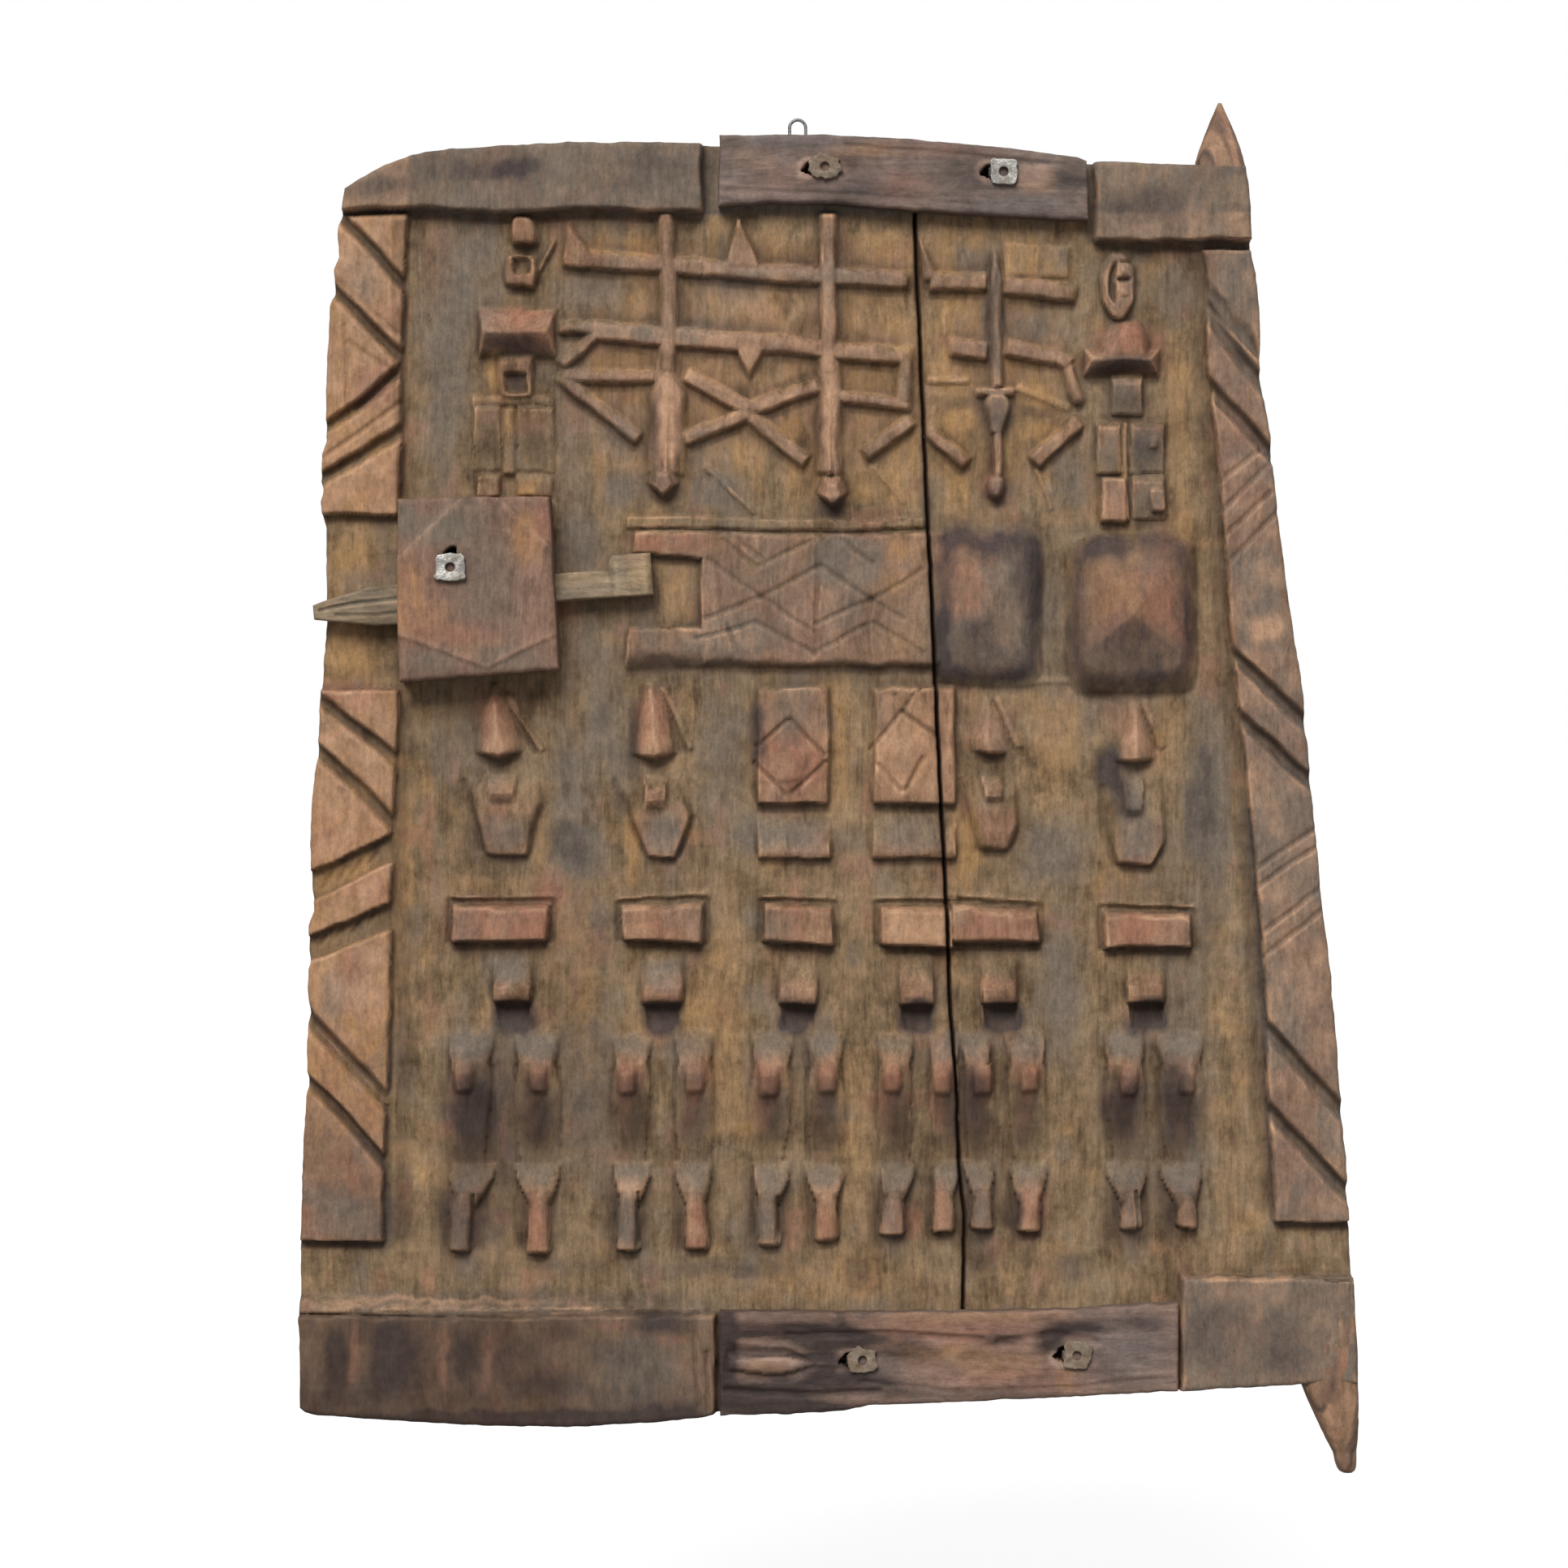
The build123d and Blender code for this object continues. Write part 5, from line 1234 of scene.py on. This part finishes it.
batten_plain = {"gold": 0.15, "rose": 0.2, "ash": 0.3, "soot": 0.3, "grime": 0.15, "worn": 0.1}
top_batten = hew(
    "top_batten_adzed", (
        curve(((730, 258.5), (742, 258), (786, 258.6)), 0.3, 121),
        curve(((725, 485), (772, 483.6)), 0.3, 122),
        curve(
            ((250, 741.5), (258, 741.5), (290, 743.5), (330, 743), (375, 739), (430, 735.5), (490, 732.5)),
            0.4, 123,
        ),
        curve(((250, 785), (330, 785), (365, 783.5), (440, 776.5), (478, 771.5), (484, 769)), 0.4, 124),
    ), batten_arrises, batten_pitch, top_batten_face, batten_back, batten_plain, batten_wood, foot,
)
bottom_batten = hew(
    "bottom_batten_adzed", (
        curve(((-5, 258.4), (66, 258.6)), 0.4, 125),
        curve(((0, 540), (80, 539.6)), 0.3, 126),
        curve(((250, -0.5), (300, 0.5), (335, 3), (350, 6), (400, 8), (450, 10.2), (545, 15)), 0.5, 127),
        curve(((250, 63.5), (400, 63), (470, 64.5), (545, 69)), 0.5, 128),
    ), batten_arrises, batten_pitch, bottom_batten_face, batten_back, batten_plain, batten_wood, foot,
)
for batten, node in ((top_batten, "top_batten"), (bottom_batten, "bottom_batten")):
    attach(batten, "door")
    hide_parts(node)

# The lock's case: one block of hardwood, hollowed from behind for the bolt and its tumblers, its
# front pared away outside four slanting lines.
case_face_y = -40.0
case_wear = 0.5
case_arrises = (2.6, 2.6, 3.0, 3.0)
case_pitch = 1.1
case_plain = {"gold": 0.15, "rose": 0.3, "ash": 0.25, "soot": 0.25, "grime": 0.2, "worn": 0.1}
lock_wood = old_wood(
    "lock_wood", {
        "pale": (152, 124, 106), "dark": (104, 82, 68), "gold": (178, 134, 94), "rose": (160, 114, 94),
        "ash": (120, 110, 96), "soot": (66, 56, 52), "worn": (176, 138, 116), "shade_and_grime_colour": (42, 28, 20),
    },
)


def case_face(u, v):
    """The depth of the case's front and the marks on it."""
    height = 0.45 * noise(u, v, 26, 34, 131) + 0.25 * noise(u, v, 9, 14, 132)
    height += 0.12 * noise(u, v, 2.0, 50, 133)
    wu = u + 0.8 * noise(u, v, 24, 24, 134)
    wv = v + 0.8 * noise(u, v, 24, 24, 135)
    facet = np.zeros_like(u)
    for (u0, v0), (u1, v1) in (
        ((60, 521), (98, 557)), ((124, 561), (157, 528)), ((117, 459), (60, 480)), ((162, 480), (117, 459))
    ):
        run = np.hypot(u1 - u0, v1 - v0)
        out = ((u1 - u0) * (wv - v0) - (v1 - v0) * (wu - u0)) / run
        facet = np.maximum(facet, step(out / 3.5) * 1.4 + np.clip(out, 0, 40) * 0.05)
    cut = Relief(u, v, -facet, 136)
    bored(cut, 94.5, 527.7, 8, 7, 16)
    height += cut.height
    soft = softened(height, 4)
    streaks = 0.5 + 0.5 * noise(u, v, 8, 60, 137)
    # Painted shade: grime darkens the front's hollows and the keyhole, by how far they lie below their
    # surroundings.
    marks = stained(
        u, v,
        grime=((soft - height - 0.4) / 2.4, ()),
        worn=(0.1 + 0.7 * held(height - soft) * (1 - spots(u, v, ((95, 529, 12, 12, 1.0),))), ()),
        gold=(0.1 * streaks, (
            (68, 499, 9, 21, 1.3), (142, 537, 10, 16, 1.2), (84, 487, 12, 12, 0.6), (112, 470, 18, 8, 0.5),
        )),
        rose=(0.2 + 0.2 * streaks, ((104, 478, 17, 7, 0.8), (151, 548, 6, 12, 0.6), (78, 482, 8, 8, 0.4))),
        ash=(0.15, (
            (66, 548, 10, 12, 0.7), (100, 550, 20, 14, 0.4), (130, 464, 22, 8, 0.6), (84, 462, 18, 8, 0.5),
            (118, 508, 20, 30, 0.45), (90, 540, 18, 10, 0.5),
        )),
        soot=(0, ((96, 520, 15, 14, 0.4), (90, 454, 30, 6, 0.3), (104, 560, 10, 4, 0.4))),
    )
    return case_face_y + case_wear - height, marks


def case_back(u, v):
    """Its underside, bedded on the planks."""
    return 0 * u + ground_y - 0.05


lock_case = hew(
    "lock_case_hollowed", (
        curve(((449, 63.5), (500, 62.4), (561, 62.6)), 0.3, 141),
        curve(((455, 161), (500, 158.5), (562, 155)), 0.3, 142),
        curve(((62, 449), (112, 453), (162, 457)), 0.4, 143),
        curve(((62, 561), (104, 562), (157, 562)), 0.4, 144),
    ), case_arrises, case_pitch, case_face, case_back, case_plain, lock_wood, foot,
)
# Its hollows run in the bolt's own line: the channel, and three stepped slots for the tumblers.
bolt_line = (130.0, 514.0)
bolt_tilt = 4.0
tumbler_places = (-12.5, 0.0, 12.5)


def prism(name, s0, s1, t0, t1, y0, y1):
    """A box in the bolt's own line, to cut a hollow with."""
    tilt = radians(bolt_tilt)
    corners = []
    for y in (y0, y1):
        for s, t in ((s0, t0), (s1, t0), (s1, t1), (s0, t1)):
            u = bolt_line[0] + s * cos(tilt) - t * sin(tilt)
            v = bolt_line[1] + s * sin(tilt) + t * cos(tilt)
            corners.append(((u + foot.x) / 1000, y / 1000, (v + foot.z) / 1000))
    mesh = bpy.data.meshes.new(name)
    mesh.from_pydata(
        corners, [], [(3, 2, 1, 0), (4, 5, 6, 7), (0, 1, 5, 4), (1, 2, 6, 5), (2, 3, 7, 6), (3, 0, 4, 7)],
    )
    mesh.update()
    cutter = bpy.data.objects.new(name, mesh)
    bpy.context.scene.collection.objects.link(cutter)
    return cutter


def hollow_out(piece, boxes):
    """Cuts boxes out of a piece and keeps the result as its mesh."""
    cutters = [prism(f"cutter_{k}", *sides) for k, sides in enumerate(boxes)]
    for cutter in cutters:
        hollow = piece.modifiers.new(cutter.name, "BOOLEAN")
        hollow.operation = "DIFFERENCE"
        hollow.object = cutter
    bpy.context.view_layer.update()
    done = bpy.data.meshes.new_from_object(piece.evaluated_get(bpy.context.evaluated_depsgraph_get()))
    piece.modifiers.clear()
    piece.data = done
    for cutter in cutters:
        bpy.data.objects.remove(cutter)


case_boxes = [(-160, 160, -24.3, 0.3, -22.6, 5)]
for s in tumbler_places:
    case_boxes.append((s - 2.8, s + 2.8, -1, 35.0, -13.2, 5))
    case_boxes.append((s - 4.3, s + 4.3, 13.6, 35.0, -14.7, 5))
hollow_out(lock_case, case_boxes)
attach(lock_case, "door")
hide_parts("lock_case")

# The bolt: one sawn bar of paler wood, its tongue tapered, its grip thinned and left thick at the
# knob, with three sockets for the tumblers and a hollow for the key behind.
bolt_face_y = -22.3
bolt_back_y = -6.3
bolt_wear = 0.5
bolt_arrises = (1.8, 2.0, 1.5, 1.5)
bolt_pitch = 0.9
bolt_plain = {"gold": 0.3, "rose": 0.15, "ash": 0.3, "soot": 0.05, "grime": 0.05, "worn": 0.3}
bolt_sockets = (17.5, 30.0, 42.5)
bolt_wood = old_wood(
    "bolt_wood", {
        "pale": (156, 136, 110), "dark": (104, 88, 68), "gold": (180, 150, 108), "rose": (164, 128, 106),
        "ash": (132, 124, 108), "soot": (72, 62, 52), "worn": (184, 158, 128), "shade_and_grime_colour": (52, 38, 26),
    }, along=(0.05, 1.0, 1.0),
)


def bolt_face(s, t):
    """The depth of the bolt's front and the marks on it, along its own line."""
    height = 0.4 * noise(s, t, 30, 9, 151) + 0.2 * noise(s, t, 11, 4, 152) + 0.14 * noise(s, t, 40, 1.7, 153)
    cut = Relief(s, t, np.zeros_like(s), 154, 0.5)
    cut.gouge(((-118, -12), (-96, -9), (-70, -8)), 3.0, 1.3)
    cut.gouge(((-108, -15.5), (-84, -17), (-66, -16)), 2.5, 1.0)
    bevel = np.clip(3.0 - (s + 122) * 0.35, 0, 3) + 1.6 * step((s - 82) / 5)
    bevel -= 1.2 * step((s - 61) / 5) * (s > 55)
    height += cut.height - bevel
    soft = softened(height, 3)
    # Painted shade: grime darkens the front's gouges and the foot of its bevels, by how far they lie below
    # their surroundings.
    marks = stained(
        s, t,
        grime=((soft - height - 0.2) / 1.6, ()),
        worn=(0.3 + (height - soft) / 1.2, ()),
        gold=(0.25, ((80, -2, 6, 10, 0.9), (40, -6, 16, 6, 0.4), (-90, -18, 12, 5, 0.5))),
        rose=(0.1, ((78, 5, 10, 5, 0.5), (-105, -8, 8, 4, 0.5), (40, -15, 20, 3, 0.4))),
        ash=(0.35, ((40, -12, 20, 6, 0.4), (-90, -10, 26, 8, 0.5), (66, -4, 5, 10, 0.3))),
        soot=(0, ((-80, -20, 14, 6, 0.4), (30, 0, 12, 3, 0.3), (-95, -12, 34, 12, 0.28))),
    )
    return bolt_face_y + bolt_wear - height, marks


def bolt_back(s, t):
    """Its flat back, which slides on the planks."""
    return 0 * s + bolt_back_y


bolt = hew(
    "bolt", (
        curve(((-30, -121.8), (10, -121.8)), 0.2, 161),
        curve(((-30, 87), (12, 87)), 0.2, 162),
        curve(
            ((-122, -17.6), (-118, -18.3), (-85, -24), (19, -24), (21, -17), (60, -17), (88, -17)), 0.15, 163,
        ),
        curve(((-122, -9), (-116, -7.2), (-85, 0), (60.5, 0), (62, 8.6), (87, 8.8)), 0.15, 164),
    ), bolt_arrises, bolt_pitch, bolt_face, bolt_back, bolt_plain, bolt_wood,
    (bolt_line[0] + foot.x, 0.0, bolt_line[1] + foot.z), bolt_tilt,
)
bolt_boxes = [(14.1, 90, -13.5, -3.5, -18.3, -10.3)]
for s in bolt_sockets:
    bolt_boxes.append((s - 3.2, s + 3.2, -8.3, 2, -13.5, -5))
hollow_out(bolt, bolt_boxes)
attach(bolt, "bolt")
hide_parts("lock_bolt")

# The staples: forged iron straps beaten out to a square eye in front, their two prongs clenched
# over behind. Two were renewed in brighter iron; the others are old and rusted.
batten_bed_y = -20.6
case_bed_y = -39.8
eye_around = 72
eye_section = 16
eye_hole = 2.6
prong_rings = 28
prong_sides = 12


def old_iron(name, dark, grey, bright, rust, rusted, shine):
    """Forged iron with scale, rust and worn bright spots, its paints given as in a colour chart."""
    dark, grey, bright, rust = (srgb(*chart) for chart in (dark, grey, bright, rust))
    material, shader, bare = start_material(name)
    here = bare.node("ShaderNodeTexCoord", output=3)
    scale = here.cloud(260.0, 5.0, 0.6)
    pits = here.cloud(900.0, 3.0, 0.6)
    bloom = here.cloud(130.0, 4.0, 0.65)
    worn = bare.node("ShaderNodeAttribute", {"attribute_name": "worn"}, output=2)
    grime = bare.node("ShaderNodeAttribute", {"attribute_name": "grime"}, output=2)
    colour = ((scale - 0.5) * 2.6 + 0.5).held().mix(dark, grey)
    colour = ((worn - 0.35 + (pits - 0.5)) * 1.6).held().mix(colour, bright)
    rusty = ((bloom - 0.5) * 3.2 + rusted).held()
    colour = rusty.mix(colour, rust)
    # Grime and painted shade: towards near black.
    colour = (grime * 1.1).held().mix(colour, srgb(20, 15, 12))
    plug(shader, "Base Color", colour.lit(0.8 + 0.4 * pits))
    plug(shader, "Metallic", (shine - rusty * 0.7 * shine).held())
    plug(shader, "Roughness", (0.42 + 0.35 * rusty + 0.2 * (pits - 0.5)).held())
    height = scale + 0.6 * pits
    bump = bare.node("ShaderNodeBump", None, {"Strength": 0.6, "Distance": 0.0008, "Height": height})
    plug(shader, "Normal", bump)
    return material


rusted_iron = old_iron(
    "rusted_iron", (92, 82, 72), (122, 110, 96), (138, 126, 110), (118, 97, 76), 0.55, 0.08,
)
bare_iron = old_iron("bare_iron", (76, 76, 74), (130, 129, 125), (182, 180, 174), (116, 102, 88), 0.25, 0.5)


def forge_staple(name, spot, turn, face_y, wide, tall, rough, lip, seed, material):
    """One staple: a beaten square eye, a strap down its hole and two prongs turned over at the back."""
    rng = np.random.default_rng(seed)
    angle = np.linspace(0, 2 * pi, eye_around, endpoint=False)[:, None]
    c, s = np.cos(angle), np.sin(angle)
    square = 2 / (5.5 if rough < 1.5 else 3.2)
    edge_x = wide / 2 * squared(c, square)
    edge_y = tall / 2 * squared(s, square)
    turn_share = np.linspace(0, 2 * pi, eye_section, endpoint=False)[None, :]
    share = 0.5 + 0.5 * squared(np.cos(turn_share), 0.4)
    depth = 1.5 * squared(np.sin(turn_share), 0.4)
    x = c * eye_hole * (1 - share) + edge_x * share
    y = s * eye_hole * 1.05 * (1 - share) + edge_y * share
    ragged = rough * (0.5 * noise(x, y, 4, 4, seed) + 0.3 * noise(x, y, 1.6, 1.6, seed + 1))
    x = x + ragged * c * share
    y = y + ragged * s * share
    beaten = step((x / wide - 0.22) / 0.12)
    y = y * (1 + lip * beaten)
    dished = 0.5 * held(1 - np.abs(share - 0.55) * 2.4)
    out = 1.5 + depth + (depth > 0) * (4 * lip * beaten - dished) + 0.3 * rough * noise(x, y, 3, 3, seed + 2)
    # In the staple's own frame x runs from the strap to the eye's far side and out is away from the wood.
    eye_x = x + wide / 2 - 1.2
    parts = [point_rows(eye_x, y, out)]
    at = np.arange(x.size).reshape(x.shape)
    beside = np.roll(at, -1, axis=0)
    faces = [fours(at, np.roll(at, -1, axis=1), np.roll(beside, -1, axis=1), beside)]
    count = at.size
    deep = back_y - face_y
    over = -deep - 0.5
    tip = 0.4 - deep
    strap = (
        (2.5, 0, 1.4), (0.6, 0, 1.3), (-0.6, 0, 0.2), (-0.9, 0, -2.5), (-0.9, 0, -9), (-0.9, 0, 2 - deep),
    )
    one_prong = ((-1, 0, 4 - deep), (-1.6, 0, tip), (-4, 0.2, over), (-10, 0.6, over), (-16, 0.9, tip))
    other_prong = ((1, 0, 4 - deep), (1.6, 0, tip), (4, -0.2, over), (10, -0.5, over), (16, -0.8, tip))
    for path, half_wide, half_thick in ((strap, 3.0, 1.0), (one_prong, 2.6, 0.8), (other_prong, 2.6, 0.8)):
        path = np.array(path, float)
        dense = np.linspace(0, len(path) - 1, prong_rings)
        line = point_rows(*(np.interp(dense, np.arange(len(path)), column) for column in path.T))
        ahead = np.gradient(line, axis=0)
        ahead /= np.linalg.norm(ahead, axis=1)[:, None]
        side = np.array((0.0, 1.0, 0.0))
        normal = np.cross(ahead, side)
        taper = np.clip((len(line) - 1 - np.arange(len(line))) / 9, 0.25, 1)[:, None, None]
        if half_wide == 3.0:
            taper = np.ones_like(taper)
        ring = np.linspace(0, 2 * pi, prong_sides, endpoint=False)
        across = half_wide * squared(np.cos(ring), 0.5)[None, :, None] * side
        up = half_thick * squared(np.sin(ring), 0.5)[None, :, None] * normal[:, None, :]
        tube = line[:, None, :] + taper * (across + up)
        tube = tube + 0.12 * rng.uniform(-1, 1, tube.shape)
        index = count + np.arange(prong_rings * prong_sides).reshape(-1, prong_sides)
        after = np.roll(index, -1, axis=1)
        faces.append(fours(index[:-1], index[1:], after[1:], after[:-1]))
        faces.append(index[0][None, :])
        faces.append(index[-1][None, ::-1])
        parts.append(tube.reshape(-1, 3))
        count += index.size
    local = np.concatenate(parts)
    way = radians(turn)
    u = spot[0] + local[:, 0] * cos(way) - local[:, 1] * sin(way)
    v = spot[1] + local[:, 0] * sin(way) + local[:, 1] * cos(way)
    # The strap stands under the eye's root, at the side of its hole.
    u = u + 2.2 * cos(way)
    v = v + 2.2 * sin(way)
    points = point_rows(u, face_y - local[:, 2], v) + np.array(foot)
    worn = held(0.4 + 0.5 * (local[:, 2] - 1.5) + 0.3 * rng.uniform(-1, 1, len(points)))
    # Painted shade: darker down towards and into the wood, and round the inside of the eye's hole.
    grime = held((-local[:, 2]) / 4) * (local[:, 2] > -deep + 3)
    inner = np.hypot(local[:, 0] - wide / 2 + 1.2, local[:, 1]) < eye_hole + 0.3
    grime = held(grime + (0.6 if rough < 2 else 0.2) * inner)
    groups = {}
    for group in faces:
        groups.setdefault(group.shape[1], []).append(group)
    faces = [np.concatenate(group) for group in groups.values()]
    return lay_mesh(name, points, faces, {"worn": worn, "grime": grime}, material)


irons = {"rusted_iron": rusted_iron, "bare_iron": bare_iron}
for name, spot, turn, face_y, wide, tall, rough, lip, seed, slot in (
    ("top_batten_staple_left", (313, 765), 0, batten_bed_y, 18, 14, 3.4, 0.0, 201, "rusted_iron"),
    ("top_batten_staple_right", (423, 762), 0, batten_bed_y, 17, 16, 1.4, 0.0, 211, "bare_iron"),
    ("bottom_batten_staple_left", (336, 34), 0, batten_bed_y, 18, 16, 2.8, 0.0, 221, "rusted_iron"),
    ("bottom_batten_staple_right", (468, 37), 0, batten_bed_y, 17, 16, 2.8, 0.0, 231, "rusted_iron"),
    ("lock_staple", (95, 528), -90, case_bed_y, 16.5, 18, 1.3, 0.13, 241, "bare_iron"),
):
    staple = forge_staple(f"{name}_forged", spot, turn, face_y, wide, tall, rough, lip, seed, irons[slot])
    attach(staple, "door")
    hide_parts(name)

# The tumblers inside the lock and the wire hanger on the back keep their turned and bent shapes
# and only take their finish: old iron pins, and thin zinc-plated wire, plate and screws.
plated_steel = old_iron(
    "plated_steel", (120, 122, 124), (168, 170, 172), (222, 222, 220), (110, 90, 70), 0.0, 0.85,
)
for node in ("tumbler_pin_1", "tumbler_pin_2", "tumbler_pin_3"):
    for material_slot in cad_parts[node].material_slots:
        material_slot.material = rusted_iron
for node in ("hanger_plate", "hanger_ring", "hanger_screws"):
    for material_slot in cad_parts[node].material_slots:
        material_slot.material = plated_steel
